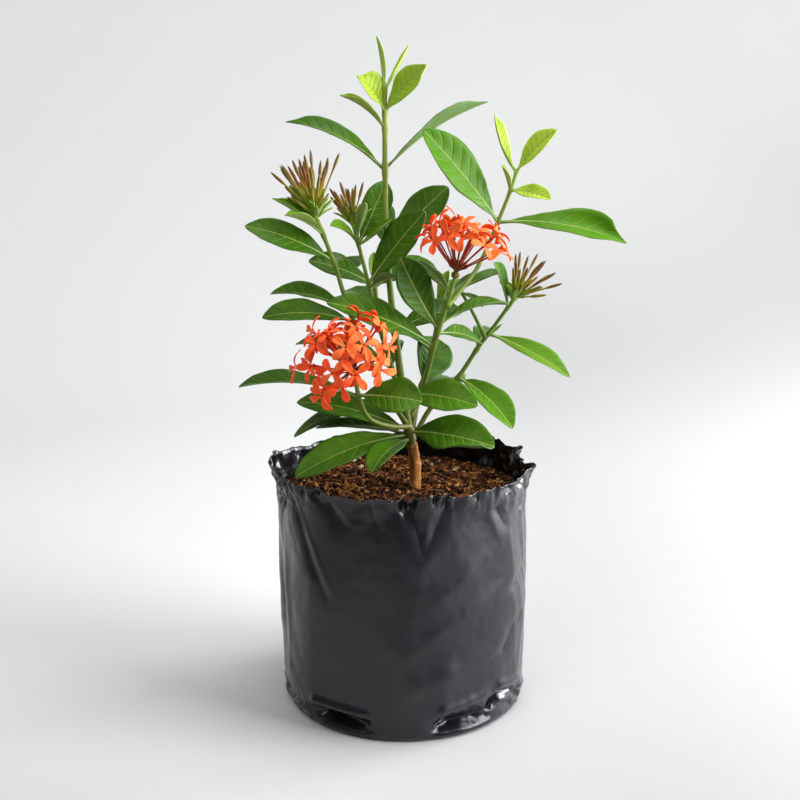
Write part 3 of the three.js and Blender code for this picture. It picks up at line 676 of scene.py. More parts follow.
def curve_point(points, share):
    """A point of the smooth line through the given points, share from 0 to 1 along it."""
    last = len(points) - 1
    place = share * last
    index = min(int(place), last - 1)
    weight = place - index
    one, two = Vector(points[index]), Vector(points[index + 1])
    before = Vector(points[index - 1]) if index > 0 else 2 * one - two
    after = Vector(points[index + 2]) if index + 2 <= last else 2 * two - one
    leave, arrive = (two - before) / 2, (after - one) / 2
    rest = weight * weight * (3 * (two - one) - 2 * leave - arrive)
    return one + weight * leave + rest + weight ** 3 * (2 * (one - two) + leave + arrive)


def curve_frame(points, share):
    """The line's point, and two directions across it."""
    low, high = max(0, share - 0.002), min(1, share + 0.002)
    along = (curve_point(points, high) - curve_point(points, low)).normalized()
    across = Vector((1, 0, 0)) - along * along.x
    across.normalize()
    return curve_point(points, share), across, across.cross(along)


def spoke(first, second, turn):
    return first * cos(turn) + second * sin(turn)


def grow_tube(bm, stem, sides, steps, swell):
    """A tapered stem along its line; swell(share, turn) gives its radius as a share of plain."""
    points, (foot, tip) = stem

    def skin(turn, share):
        centre, across, beside = curve_frame(points, share)
        radius = (foot + (tip - foot) * share) * swell(share, turn)
        return centre + spoke(across, beside, turn) * radius

    wrapped(bm, sides, steps, skin)
    bmesh.ops.recalc_face_normals(bm, faces=bm.faces[:])


def bark_swell(share, turn):
    gnarl = noise.noise(Vector((2 * cos(turn), 2 * sin(turn), 14 * share)))
    rib = sin(turn * 3 + 2 * share)
    collar = 0.35 * exp(-((share - COLLAR_SHARE) / COLLAR_SPREAD) ** 2)
    return 1 + BARK_GNARL * gnarl + BARK_RIB * rib + collar * 0.4


trunk = bmesh.new()
grow_tube(trunk, TRUNK, 28, 90, bark_swell)
bark = Finish("young_bark", roughness=0.75, specular_ior_level=0.25)
streaks = bark.grain(240, 5, bark.stretched((1, 1, 0.18)))
pores = bark.grain(520, 2, bark.stretched((1, 1, 0.6)))
bark_tone = bark.ramp(streaks, (0.3, 0x74431a), (0.5, 0xb07030), (0.7, 0xd89e56))
bark.set("Base Color", bark.mix(bark.rise(pores, 0.62, 0.72) * 0.5, bark_tone, 0xd6b07a))
bark.bump(streaks + 0.5 * pores, 0.9)
finish_piece("trunk_bark", trunk, bark, ["trunk"])

# ---- The green stems ----
# Slender shoots that fork off the trunk and off each other, green and smooth, thicker at each
# pair of leaves, where the stem is jointed, and browner low down where they turn woody.

# Stems: the points of each one's line, and its radius at foot and tip.
STEMS = {
    "stem_main": ((
        (5, -5, 177), (0, -4, 207), (-5, -2, 244), (-9, 0, 277), (-12, 2, 314),
        (-13, 4, 363), (-13, 4, 416)), (2.9, 1.5)),
    "stem_left_bud": ((
        (1, -6, 194), (-13, -9, 217), (-28, -10, 249), (-39, -10, 279),
        (-46, -10, 302), (-57, -13, 332)), (1.75, 1.35)),
    "stem_mid_bud": ((
        (0, -3, 206), (-11, -5, 240), (-20, -3, 270), (-26, 0, 296), (-34, 6, 326)), (1.6, 1.25)),
    "stem_front_flower": ((
        (3, -7, 192), (-10, -22, 196), (-23, -34, 204), (-29, -41, 218),
        (-32, -46, 236)), (1.75, 1.4)),
    "stem_right_flower": ((
        (4, -2, 198), (11, 0, 214), (16, -10, 234), (21, -20, 257), (27, -25, 277),
        (32, -26, 295)), (1.7, 1.3)),
    "stem_right_bud": ((
        (7, -3, 185), (18, 4, 203), (35, 8, 221), (49, 10, 242), (57, 10, 253),
        (73, 8, 276)), (1.8, 1.25)),
    "stem_top_right": ((
        (27, -26, 276), (38, -12, 287), (47, 0, 297), (54, 8, 309), (62, 10, 328),
        (70, 10, 349), (74, 10, 362)), (1.6, 1.2)),
    "stem_twig": ((
        (55, 10, 250), (47, 6, 266), (37, 4, 284)), (1.3, 1.1)),
    "stem_back_left": ((
        (1, -2, 196), (-7, 12, 222), (-15, 26, 250), (-21, 38, 284)), (2.0, 1.3)),
    "stem_back_right": ((
        (5, -2, 190), (11, 14, 214), (19, 30, 238), (25, 42, 268)), (2.0, 1.3)),
}
# Leaves by stem: height of the node, heading, rise, length, width, arch as a share of the
# length, roll about the midrib, fold of each half above the flat, and youth from 0 to 1.
LEAVES = {
    "stem_main": [
        (414, 211, 79, 32, 6, 0.02, 0, 38, 1.0), (414, 21, 58, 32, 5.6, -0.03, 0, 40, 1.0),
        (399, 204, 48, 29, 22, 0.10, -52, 18, 0.9), (399, 345, 46, 40, 21, 0.04, 58, 14, 0.9),
        (389, 200, 33, 36, 12, 0.08, -14, 40, 0.85), (362, 171, 25, 73, 19, 0.10, -22, 26, 0.1),
        (363, 18, 31, 84, 20, 0.06, -16, 28, 0.15), (310, 22, 43, 60, 24, 0.06, 50, 14, 0.0),
        (310, 104, 26, 56, 24, 0.12, 0, 18, 0.1), (256, 20, 14, 50, 22, 0.10, 30, 14, 0.1),
        (213, 326, 0, 58, 25, 0.10, 44, 14, 0.4), (188, 334, -3, 62, 30, 0.10, 50, 12, 0.35),
        (186, 201, -15, 84, 28, 0.08, -26, 16, 0.15), (183, 238, -14, 50, 23, 0.10, 0, 18, 0.4),
        (189, 170, 12, 80, 22, 0.08, -32, 14, 0.15), (186, 160, -1, 70, 17, 0.06, -10, 16, 0.1),
    ],
    "stem_left_bud": [
        (323, 138, 44, 42, 10, -0.06, -30, 30, 0.6), (323, 184, 34, 38, 11, 0.04, -16, 40, 0.6),
        (322, 226, 22, 34, 13, 0.06, 0, 40, 0.6), (304, 186, 22, 61, 22, 0.08, -44, 12, 0.1),
        (304, 68, -10, 40, 18, 0.08, 0, 18, 0.0), (271, 161, 9, 58, 21, 0.10, -20, 26, 0.05),
        (264, 190, 4, 60, 22, 0.10, -34, 18, 0.15), (236, 160, 10, 56, 22, 0.10, 0, 18, 0.0),
    ],
    "stem_mid_bud": [
        (314, 45, 58, 48, 20, 0.04, 60, 12, 0.3), (318, 296, 56, 28, 9, 0.02, 0, 36, 0.6),
        (314, 223, 29, 27, 14, 0.10, -30, 22, 0.6), (314, 334, 34, 30, 13, -0.04, 30, 22, 0.6),
        (288, 342, 51, 62, 25, 0.04, 70, 12, 0.05), (285, 316, 18, 30, 13, 0.08, 0, 30, 0.2),
    ],
    "stem_front_flower": [
        (221, 175, 3, 78, 20, 0.08, -8, 28, 0.1), (221, 336, 0, 44, 26, 0.06, 46, 10, 0.2),
    ],
    "stem_right_flower": [
        (285, 199, 44, 31, 13, 0.04, -10, 32, 0.4), (285, 143, 16, 46, 15, 0.10, 0, 24, 0.3),
        (265, 22, 11, 50, 16, 0.10, 10, 28, 0.3), (260, 189, 62, 54, 24, -0.04, -70, 10, 0.05),
        (258, 40, -15, 41, 19, 0.08, 30, 14, 0.15), (249, 186, 23, 76, 25, 0.08, -42, 14, 0.2),
    ],
    "stem_right_bud": [
        # The leaf at 253 mm, heading 345, is given a high youth of 0.6: its paler yellow-green is
        # partly a painted sheen.
        (272, 228, 60, 35, 18, 0.02, -62, 18, 0.5), (253, 345, -26, 62, 19, 0.06, 30, 20, 0.6),
        (223, 320, -32, 54, 24, 0.10, 20, 24, 0.45), (242, 70, 8, 48, 20, 0.12, 0, 18, 0.1),
    ],
    "stem_top_right": [
        (361, 195, 66, 40, 15, -0.08, -40, 30, 1.0), (361, 346, 46, 37, 18, 0.06, 48, 16, 0.95),
        (349, 236, 52, 20, 13, 0.02, -50, 20, 0.9), (349, 322, -10, 31, 15, 0.06, 34, 16, 1.0),
        (328, 200, 48, 80, 29, 0.04, -70, 12, 0.5), (328, 354, -9, 86, 23, 0.08, 34, 16, 0.5),
    ],
    "stem_twig": [
        (284, 24, 16, 37, 12, 0.06, 20, 24, 0.4), (282, 322, -27, 19, 9, 0.06, 0, 24, 0.4),
    ],
    "stem_back_left": [
        (283, 96, 66, 24, 9, 0.04, 0, 34, 0.7), (282, 192, 22, 50, 22, 0.08, -40, 12, 0.1),
        (282, 20, 22, 44, 20, 0.08, 40, 12, 0.1), (254, 120, 20, 60, 22, 0.12, 0, 18, 0.1),
        (228, 174, 14, 56, 22, 0.12, -20, 18, 0.0), (227, 96, 6, 62, 24, 0.12, 0, 16, 0.1),
        (206, 178, -18, 78, 14, 0.14, 56, 10, 0.0),
    ],
    "stem_back_right": [
        (267, 60, 62, 28, 10, 0.04, 0, 34, 0.7), (266, 330, 40, 40, 16, 0.06, 20, 26, 0.2),
        (258, 64, 22, 60, 22, 0.12, 0, 18, 0.1), (238, 150, 12, 46, 22, 0.12, 0, 18, 0.1),
        (216, 72, 34, 48, 29, 0.06, 40, 10, 0.1), (206, 60, 2, 66, 24, 0.12, 0, 16, 0.0),
    ],
}
NODE_SWELL = 0.3
NODE_SPREAD = 2.6
FOOT_SWELL = 0.3
FOOT_SPREAD = 6
SHOOT_RIB = 0.03


def share_at_height(points, height):
    low, high = 0.0, 1.0
    for _ in range(24):
        middle = (low + high) / 2
        if curve_point(points, middle).z < height:
            low = middle
        else:
            high = middle
    return low


green = Finish("green_shoot", roughness=0.45, specular_ior_level=0.3)
mottle = green.grain(160, 3, green.stretched((1, 1, 0.3)))
ripening = green.ramp(green.axis(2), (0.18, 0x6b6424), (0.215, 0x5f7022), (0.30, 0x6f8a2c),
                      (0.40, 0x97a840))
green.set("Base Color", green.mix(green.rise(mottle, 0.45, 0.75) * 0.5, ripening, 0x455f16))
green.bump(green.grain(500, 3, green.stretched((1, 1, 0.2))), 0.4)

for name, stem in STEMS.items():
    points = stem[0]
    joints = sorted({round(share_at_height(points, row[0]), 3) for row in LEAVES[name]})
    reach = sum((Vector(b) - Vector(a)).length for a, b in zip(points, points[1:]))

    def node_swell(share, turn):
        bulge = sum(exp(-((share - joint) * reach / NODE_SPREAD) ** 2) for joint in joints)
        foot = exp(-share * reach / FOOT_SPREAD)
        rib = sin(3 * turn)
        return 1 + NODE_SWELL * min(bulge, 1) + FOOT_SWELL * foot + SHOOT_RIB * rib

    shoot = bmesh.new()
    grow_tube(shoot, stem, 14, int(reach / 1.6), node_swell)
    finish_piece(name.replace("stem", "shoot"), shoot, green, [name])

# ---- The leaves ----
# Leathery evergreen blades, in pairs, each on a short stalk that runs on as a pale midrib.
# Side veins curve forward from it, and the upper face is waxy dark green, the lower one paler.
PETIOLE_WIDTH = 2.6
PETIOLE_SHARE = 0.08
PETIOLE_FADE = 6
BLADE_BELLY = 1.3
BLADE_FULLNESS = 0.62
BLADE_TIP = 0.35
BLADE_SHOWN = 0.5
BLADE_ROWS = 44
BLADE_COLUMNS = 12
LONG_BLADE = 40
WAVE_SHARE = 0.035
RUFFLE_SHARE = 0.05
UNEVEN_SHARE = 0.05
SLIM_SHARE = 0.3
FOLD_ROUND = 0.02
VEIN_PAIRS = 9
VEIN_SWEEP = 0.12
VEIN_BOW = 0.03
RIB_REACH = 0.94
RIB_FOOT = 0.95
RIB_TIP = 0.16
RIB_SUNK = 0.25
POINTED_FROM = 0.72
POINTED_TO = 1.04
# Leaves with a look of their own, by height and heading: how far an edge curls over, how much
# the tip is drawn to a point, and how deep the blade is quilted between its veins.
CURLED_EDGES = {(188, 334): -1.1, (328, 354): 0.5}
POINTED_TIPS = {
    (328, 354): 0.6, (362, 171): 0.6, (363, 18): 0.6, (389, 200): 0.5, (399, 204): 0.7,
    (399, 345): 0.5, (361, 195): 0.6, (253, 345): 0.3, (323, 184): 0.6, (322, 226): 0.6,
    (323, 138): 0.5,
}
QUILT = {(328, 200): 0.42, (328, 354): 0.42, (213, 326): 0.3, (188, 334): 0.3}
# Bractlets under a bud cluster: how many; and the width, arch, roll, fold and youth of each.
BRACTLETS = {"stem_left_bud": 9, "stem_mid_bud": 7, "stem_right_bud": 8}
BRACTLET_FORM = (3.4, 0.05, 0, 30, 0.85)
BRACTLET_TURN = 137.5


def direction(heading, rise):
    level = cos(radians(rise))
    turn = radians(heading)
    return Vector((level * cos(turn), level * sin(turn), sin(radians(rise))))


def eased(value, low, high):
    return float(smoothstep(value, low, high))


def leaf_half_width(share, width):
    if share <= PETIOLE_SHARE:
        return PETIOLE_WIDTH / 2
    blade = (share - PETIOLE_SHARE) / (1 - PETIOLE_SHARE)
    plain = (width / 2) * max(sin(pi * blade ** BLADE_BELLY), 0) ** BLADE_FULLNESS
    return max(BLADE_TIP, plain, (PETIOLE_WIDTH / 2) * (1 - blade * PETIOLE_FADE))


def lay_leaf(bm, layers, root, row, seed):
    """One leaf's blade and stalk on its node. Returns the rule that places its points."""
    height, heading, rise, length, width, arch, roll, fold, youth = row
    along = direction(heading, rise)
    flat_side = Vector((-sin(radians(heading)), cos(radians(heading)), 0))
    turn = Quaternion(along, radians(roll))
    side = turn @ flat_side
    up = turn @ along.cross(flat_side)
    phase = draw(seed) * 6
    steep = radians(fold)
    curl = CURLED_EDGES.get((height, heading), 0.5 * (draw(seed + 0.35) - 0.5))
    pointed = POINTED_TIPS.get((height, heading), 0.2 * draw(seed + 0.45))
    relief = QUILT.get((height, heading), 0.2 + 0.2 * draw(seed + 0.55))

    def blade_point(share, across, proud):
        """A point of the blade: share from foot to tip, across from -1 to 1, proud above it."""
        slope = atan(4 * arch * (1 - 2 * share))
        normal = up * cos(slope) - along * sin(slope)
        opened = eased(share, 0, 0.2)
        narrowed = pointed * eased(share, POINTED_FROM, POINTED_TO)
        half = leaf_half_width(share, width) * (1 - narrowed)
        uneven = noise.noise(Vector((share * 6, 2.5 * (across > 0), seed)))
        half *= 1 + UNEVEN_SHARE * uneven * min(1, width / 14)
        slim = min(1, half / (SLIM_SHARE * width))
        spread = sqrt(across * across + FOLD_ROUND) - 0.14
        wave = WAVE_SHARE * width * sin(9 * share + phase + across) * opened * (1 - share)
        vein = VEIN_PAIRS * (share - VEIN_SWEEP * abs(across) - VEIN_BOW * across * across)
        quilt = -relief * cos(tau * vein) * opened * abs(across) * (1.15 - across * across)
        crinkle = noise.noise(Vector((share * 5, across * 1.2, seed * 3.7)))
        ruffle = RUFFLE_SHARE * width * abs(across) * opened * crinkle
        outer = max(0, (across if curl > 0 else -across) - 0.25)
        ruffle += abs(curl) * width * outer * outer * eased(share, 0.35, 0.8)
        raised = (spread * (half * sin(steep) * opened + wave * slim)
                  + (quilt + ruffle) * slim * slim + proud)
        return (root + along * length * share + up * length * arch * 4 * share * (1 - share)
                + side * half * cos(steep * opened) * across + normal * raised)

    for vert in grid(bm, BLADE_COLUMNS, BLADE_ROWS if length > LONG_BLADE else BLADE_ROWS // 2):
        across, share = -vert.co.x, (vert.co.y + 1) / 2
        vert.co = blade_point(share, across, BLADE_SHOWN / 2)
        mark(vert, layers, off_mid=abs(across) * leaf_half_width(share, width),
             youth=youth + 0.16 * (draw(seed + 0.5) - 0.5), upper=1, shade=draw(seed + 0.7))
    return blade_point


def lay_midrib(bm, layers, blade_point, youth, seed):
    def rib(turn, share):
        run = share * RIB_REACH
        thick = RIB_FOOT * (1 - share) ** 1.3 + RIB_TIP
        here = blade_point(run, 0, 0)
        ahead = (blade_point(run + 0.01, 0, 0) - here).normalized()
        across = (blade_point(run, 0.2, 0) - blade_point(run, -0.2, 0)).normalized()
        down = across.cross(ahead)
        sunk = -RIB_SUNK if down.dot(blade_point(run, 0, -1) - here) < 0 else RIB_SUNK
        return here + spoke(across, down, turn) * thick + down * sunk

    for vert in wrapped(bm, 6, 12, rib):
        mark(vert, layers, off_mid=0, youth=youth, upper=0.3, shade=draw(seed + 0.7))


def give_thickness(bm, layers, faces, thickness):
    """Makes thin blades solid, and marks their new lower faces for the finish."""
    upper_side = set(bm.verts)
    bmesh.ops.solidify(bm, geom=faces, thickness=thickness)
    for vert in bm.verts:
        if vert not in upper_side:
            mark(vert, layers, upper=0)


leaf = Finish("ixora_leaf", specular_ior_level=0.17)
blade_map = leaf.node("ShaderNodeUVMap", {"uv_map": "blade"})
out = abs(leaf.axis(0, blade_map) * 2 - 1)
run = leaf.axis(1, blade_map)
youth = leaf.attribute("youth")
upper = leaf.attribute("upper")
vein = ((run - out * VEIN_SWEEP - out * out * VEIN_BOW) * VEIN_PAIRS * tau).cosine()
vein = (vein * 0.5 + 0.5) ** 22
vein = vein * (1 - leaf.rise(out, 0.62, 0.96)) * leaf.rise(run, 0.1, 0.2)
midrib = 1 - leaf.rise(leaf.attribute("off_mid") + run * 0.25, 0.35, 0.8)
netting = leaf.node("ShaderNodeTexVoronoi", {"feature": "DISTANCE_TO_EDGE"},
                    {"Vector": leaf.place(), "Scale": 620})
cloud = leaf.grain(70)
top = leaf.mix(leaf.attribute("shade"), 0x264a06, 0x467408)
top = leaf.mix(leaf.rise(youth, 0.0, 0.6), top, 0x4a7c0a)
top = leaf.mix(leaf.rise(youth, 0.55, 1.0), top, 0xacc83a)
top = leaf.mix(leaf.rise(cloud, 0.4, 0.75) * 0.28, top, 0x688e18)
top = leaf.mix(vein * 0.3, top, 0x86a83c)
top = leaf.mix(midrib * 0.85, top, 0xa0b458)
below = leaf.mix(leaf.rise(youth, 0.4, 1.0), 0x6d8c4e, 0xb4d060)
below = leaf.mix(midrib, below, 0xa5bf78)
leaf.set("Base Color", leaf.mix(upper, below, top))
leaf.set("Roughness", 0.56 - 0.3 * upper + 0.22 * cloud)
pressed = vein * -0.7 + midrib * -0.8
leaf.bump(pressed + leaf.rise(netting, 0.0, 0.35) * 0.12 + cloud * 0.6, 0.6, 0.9)

for name, rows in LEAVES.items():
    points = STEMS[name][0]
    foliage = bmesh.new()
    foliage.loops.layers.uv.new("blade")
    layers = float_layers(foliage, "off_mid", "youth", "upper", "shade")
    ribs = []
    for seed, row in enumerate(rows, len(name)):
        root = curve_point(points, share_at_height(points, row[0]))
        ribs.append((lay_leaf(foliage, layers, root, row, seed), row[8], seed))
    for item in range(BRACTLETS.get(name, 0)):
        seed = 40 + item + len(name)
        rise, size = 34 + 38 * draw(seed + 0.1), 11 + 8 * draw(seed + 0.2)
        row = (0, BRACTLET_TURN * item, rise, size, *BRACTLET_FORM)
        lay_leaf(foliage, layers, Vector(points[-1]) - Vector((0, 0, 1)), row, seed)
    foliage.normal_update()
    give_thickness(foliage, layers, foliage.faces[:], BLADE_SHOWN)
    for rib in ribs:
        lay_midrib(foliage, layers, *rib)
    bmesh.ops.recalc_face_normals(foliage, faces=foliage.faces[:])
    finish_piece(name.replace("stem", "leaves"), foliage, leaf, [name])

# ---- The flower heads ----
# Round heads of open florets. Each has a thin dark-red tube, two to three times as long as its
# petals, that ends in four spreading petals, vermilion when fresh and paler orange with age.
# Florets that face right, toward the key light, are painted paler orange too, a painted light,
# and the edges and tips of the petals are painted paler, a painted highlight.

# Heads: the stem each sits on, which way it looks, its florets, their reach and their spread.
Head = namedtuple("Head", "stem heading rise count reach spread seed")
FLOWER_HEADS = {
    "flowers_front": Head("stem_front_flower", 246, 51, 21, 38, 70, 3),
    "flowers_right": Head("stem_right_flower", 330, 78, 15, 39, 56, 11),
}
PETAL_LENGTH = 11
PETAL_CUP = 1.2
PETAL_HALF = 2.45
PETAL_FOOT = 0.7
PETAL_SHOWN = 0.32
MOUTH_DEPTH = 0.6
TUBE_THIN = 0.42
TUBE_WIDENING = 0.3
TUBE_MOUTH = 0.5
TUBE_BOW = 0.06
CALYX = 0.65
FACE_LEAN = 1.15
FLORET_LAYERS = 3
LAYER_STEP = 3.4
FILLER_SHARE = 0.4
FILLER_DROP = 5.5
HEAD_CORE = 6
HEAD_KNOB = 2.6
KNOB_SET_BACK = 2
CORE_SEAT = 0.6
STRAY_LEAN = 0.16
STRAY_TURN = 0.5


def spread_directions(head, count):
    """Outward directions over a cap round the head's axis, by the golden angle."""
    axis = direction(head.heading, head.rise)
    to_axis = Vector((0, 0, 1)).rotation_difference(axis)
    golden = pi * (3 - sqrt(5))
    for item in range(count):
        share = (item + 0.5) / count
        even = acos(1 - share * (1 - cos(radians(head.spread))))
        lean = even + STRAY_LEAN * (draw(head.seed + item) - 0.5)
        turn = item * golden + STRAY_TURN * (draw(head.seed + item + 0.37) - 0.5)
        level = sin(lean)
        spot = (level * cos(turn), level * sin(turn), cos(lean))
        yield to_axis @ Vector(spot)


def core_centre(head, size):
    tip = Vector(STEMS[head.stem][0][-1])
    return tip + direction(head.heading, head.rise) * size * CORE_SEAT


def lay_knob(bm, centre, radius, pace, set_back):
    """The lumpy knob in a head's middle, where its florets or buds meet."""
    verts = bmesh.ops.create_icosphere(bm, subdivisions=3, radius=radius)["verts"]
    for vert in verts:
        vert.co = centre + vert.co * (1 + 0.3 * noise.noise(vert.co * pace)) - set_back
    return verts


def lay_tube(bm, layers, root, outward, first, reach, age, seed):
    """A floret's slender tube, from its calyx to its mouth."""
    second = outward.cross(first)
    bow = TUBE_BOW * reach * (draw(seed + 0.3) - 0.5)
    length = reach + MOUTH_DEPTH

    def tube_skin(turn, share):
        thin = TUBE_THIN + TUBE_WIDENING * eased(share, 0.2, 1.0)
        calyx = CALYX * exp(-((share - 0.22) / 0.05) ** 2)
        mouth = TUBE_MOUTH * eased(share, 0.93, 1.0)
        bend = first * bow * sin(pi * share)
        girth = spoke(first, second, turn) * (thin + calyx + mouth)
        return root + outward * length * share + bend + girth

    for vert in wrapped(bm, 8, 14, tube_skin):
        run = (vert.co - root).dot(outward) / length
        mark(vert, layers, part=0.3 * run, age=age, upper=1)


def lay_petal(bm, layers, mouth, facing, along, beside, age, seed):
    """One petal of a floret, pointed at its foot and round at its end."""
    droop = 8.5 * draw(seed + 0.4) ** 1.5 - 2.2
    lift = 0.4 + 0.9 * draw(seed + 0.6)
    long = PETAL_LENGTH * (0.94 + 0.1 * draw(seed + 0.8))
    twist = 0.9 * (draw(seed + 0.9) - 0.5)
    fade_and_right_light = age + 0.5 * (draw(seed + 0.95) - 0.5)
    verts = grid(bm, 6, 9)
    for vert in verts:
        across, share = vert.co.x, (vert.co.y + 1) / 2
        run = PETAL_FOOT + (long - PETAL_FOOT) * share
        half = PETAL_HALF * (0.3 + 0.7 * eased(share, 0, 0.62))
        half *= sqrt(max(0.02, 1 - max(0, (share - 0.7) / 0.3) ** 2))
        cup = PETAL_CUP * sin(pi * min(1, run / PETAL_LENGTH)) - droop * share ** 2.2
        edge = lift * across * across * share + twist * across * share * 1.6
        vert.co = mouth + along * run + beside * half * across + facing * (cup + edge + 0.5)
        # How near the petal's edge or tip a point lies; the finish paints it paler there, a painted
        # highlight.
        mark(vert, layers, part=0.4 + 0.6 * share, age=fade_and_right_light, upper=1,
             margin=max(abs(across), share * share))
    return verts


def lay_floret(bm, layers, root, outward, reach, spin, age, seed):
    """One open floret. Returns the points of its four petals."""
    helper = Vector((1, 0, 0)) if abs(outward.z) > 0.9 else Vector((0, 0, 1))
    first = Quaternion(outward, spin) @ outward.cross(helper).normalized()
    second = outward.cross(first)
    lay_tube(bm, layers, root, outward, first, reach, age, seed)
    lean = Quaternion(spoke(first, second, 9 * age + seed), FACE_LEAN * (draw(seed + 0.15) - 0.25))
    first, second, facing = lean @ first, lean @ second, lean @ outward
    petals = []
    for quarter in range(4):
        angle = pi / 2 * quarter + 0.16 * (draw(seed + quarter + 0.2) - 0.5)
        along = spoke(first, second, angle)
        beside = second * cos(angle) - first * sin(angle)
        petals += lay_petal(bm, layers, root + outward * reach, facing, along, beside, age,
                            seed + quarter)
    return petals


petal = Finish("ixora_petal", roughness=0.55, specular_ior_level=0.15)
part = petal.attribute("part")
age = petal.attribute("age")
flush = petal.grain(260)
# Painted highlight: the petals' edges and tips are painted a paler orange, as if their rims catch
# the light.
margin = petal.rise(petal.attribute("margin"), 0.72, 1.0)
fresh = petal.ramp(part, (0.0, 0x5f7a2a), (0.055, 0x7c3320), (0.2, 0x9c2412), (0.3, 0xcc3a12),
                   (0.41, 0xb42806), (0.55, 0xf8400c), (1.0, 0xff5420))
# The aged tones also serve as a painted light: florets that face right get more of them.
aged = petal.ramp(part, (0.0, 0x6a7a30), (0.055, 0x8c4a28), (0.3, 0xb84a1c), (0.45, 0xee6a12),
                  (1.0, 0xff7f20))
bloom = petal.mix(petal.rise(age, 0.1, 0.95), fresh, aged)
bloom = petal.mix(petal.rise(flush, 0.5, 0.8) * 0.25, bloom, 0xff5a20)
bloom = petal.mix(margin * 0.3, bloom, 0xff8048)
back = petal.mix(age, 0xff5a28, 0xff8440)
petal.set("Base Color", petal.mix(petal.attribute("upper"), back, bloom))
petal.bump(flush, 0.25)

for name, head in FLOWER_HEADS.items():
    root, seed = core_centre(head, HEAD_CORE), head.seed
    florets = bmesh.new()
    florets.loops.layers.uv.new("petal")
    layers = float_layers(florets, "part", "age", "upper", "margin")
    petal_verts = []
    outwards = [*spread_directions(head, head.count),
                *spread_directions(head._replace(seed=seed + 70), int(head.count * FILLER_SHARE))]
    for item, outward in enumerate(outwards):
        layer = (item % FLORET_LAYERS) - (FLORET_LAYERS - 1) / 2
        drop = FILLER_DROP if item >= head.count else 0
        reach = head.reach - HEAD_CORE + layer * LAYER_STEP - drop
        spin = pi * draw(seed + item + 0.53)
        # A floret's age is partly random and partly grows with how far it faces right, toward the
        # key light: the right side of a head is painted paler orange, a painted light.
        age_and_right_light = 0.35 + 0.5 * outward.x + 0.5 * (draw(seed + item + 0.63) - 0.5)
        petal_verts += lay_floret(florets, layers, root, outward, reach, spin, age_and_right_light,
                                  seed * 9 + item)
    petal_faces = list(dict.fromkeys(face for vert in petal_verts for face in vert.link_faces))
    give_thickness(florets, layers, petal_faces, PETAL_SHOWN)
    set_back = direction(head.heading, head.rise) * KNOB_SET_BACK
    for vert in lay_knob(florets, root, HEAD_KNOB, 0.9, set_back):
        mark(vert, layers, upper=1, part=0.02)
    bmesh.ops.recalc_face_normals(florets, faces=florets.faces[:])
    finish_piece(name.replace("flowers", "florets"), florets, petal, [name])

# ---- The bud clusters ----
# Tight sprays of unopened florets, each a thin tube with a longer, pointed bud at its end:
# green at the foot, then red-brown, and dark olive at the tip. The crests of its ribs are
# painted pale tan, a painted highlight.
BUD_CLUSTERS = {
    "buds_left": Head("stem_left_bud", 170, 76, 24, 43, 38, 5),
    "buds_mid": Head("stem_mid_bud", 200, 78, 13, 30, 34, 7),
    "buds_right": Head("stem_right_bud", 345, 58, 16, 37, 42, 9),
}
BUD_HEAD = 11.25
BUD_NECK = 0.62
BUD_SWELL = 0.55
BUD_CALYX = 0.5
BUD_RIB = 0.1
BUD_TWIST = 5
BUD_BOW = 0.05
BUD_CORE = 4
BUD_KNOB = 2.3
BUD_SHORTEST = 0.82
BUD_LONGEST = 1.08
LOOSE_SPREAD = 12

bud = Finish("ixora_bud", roughness=0.5, specular_ior_level=0.3)
run = bud.attribute("part")
brown = bud.ramp(run, (0.0, 0x8fae34), (0.44, 0xa8a830), (0.6, 0xb87022), (0.75, 0x8c4618),
                 (0.9, 0x64381a), (1.0, 0x3d3014))
unripe = bud.ramp(run, (0.0, 0x5f8a1c), (0.45, 0x8fa02c), (0.75, 0x8f8a2c), (1.0, 0x5c5f1c))
bud_tone = bud.mix(bud.attribute("age"), brown, unripe)
# Painted highlight: the crests of the ribs on the bud's upper half are painted pale tan, as lit
# sides.
painted_rib_highlight = bud.rise(bud.attribute("stripe"), 0.2, 0.9) * bud.rise(run, 0.3, 0.6)
bud.set("Base Color", bud.mix(painted_rib_highlight * 0.4, bud_tone, 0xc09050))
bud.bump(bud.grain(380), 0.3)

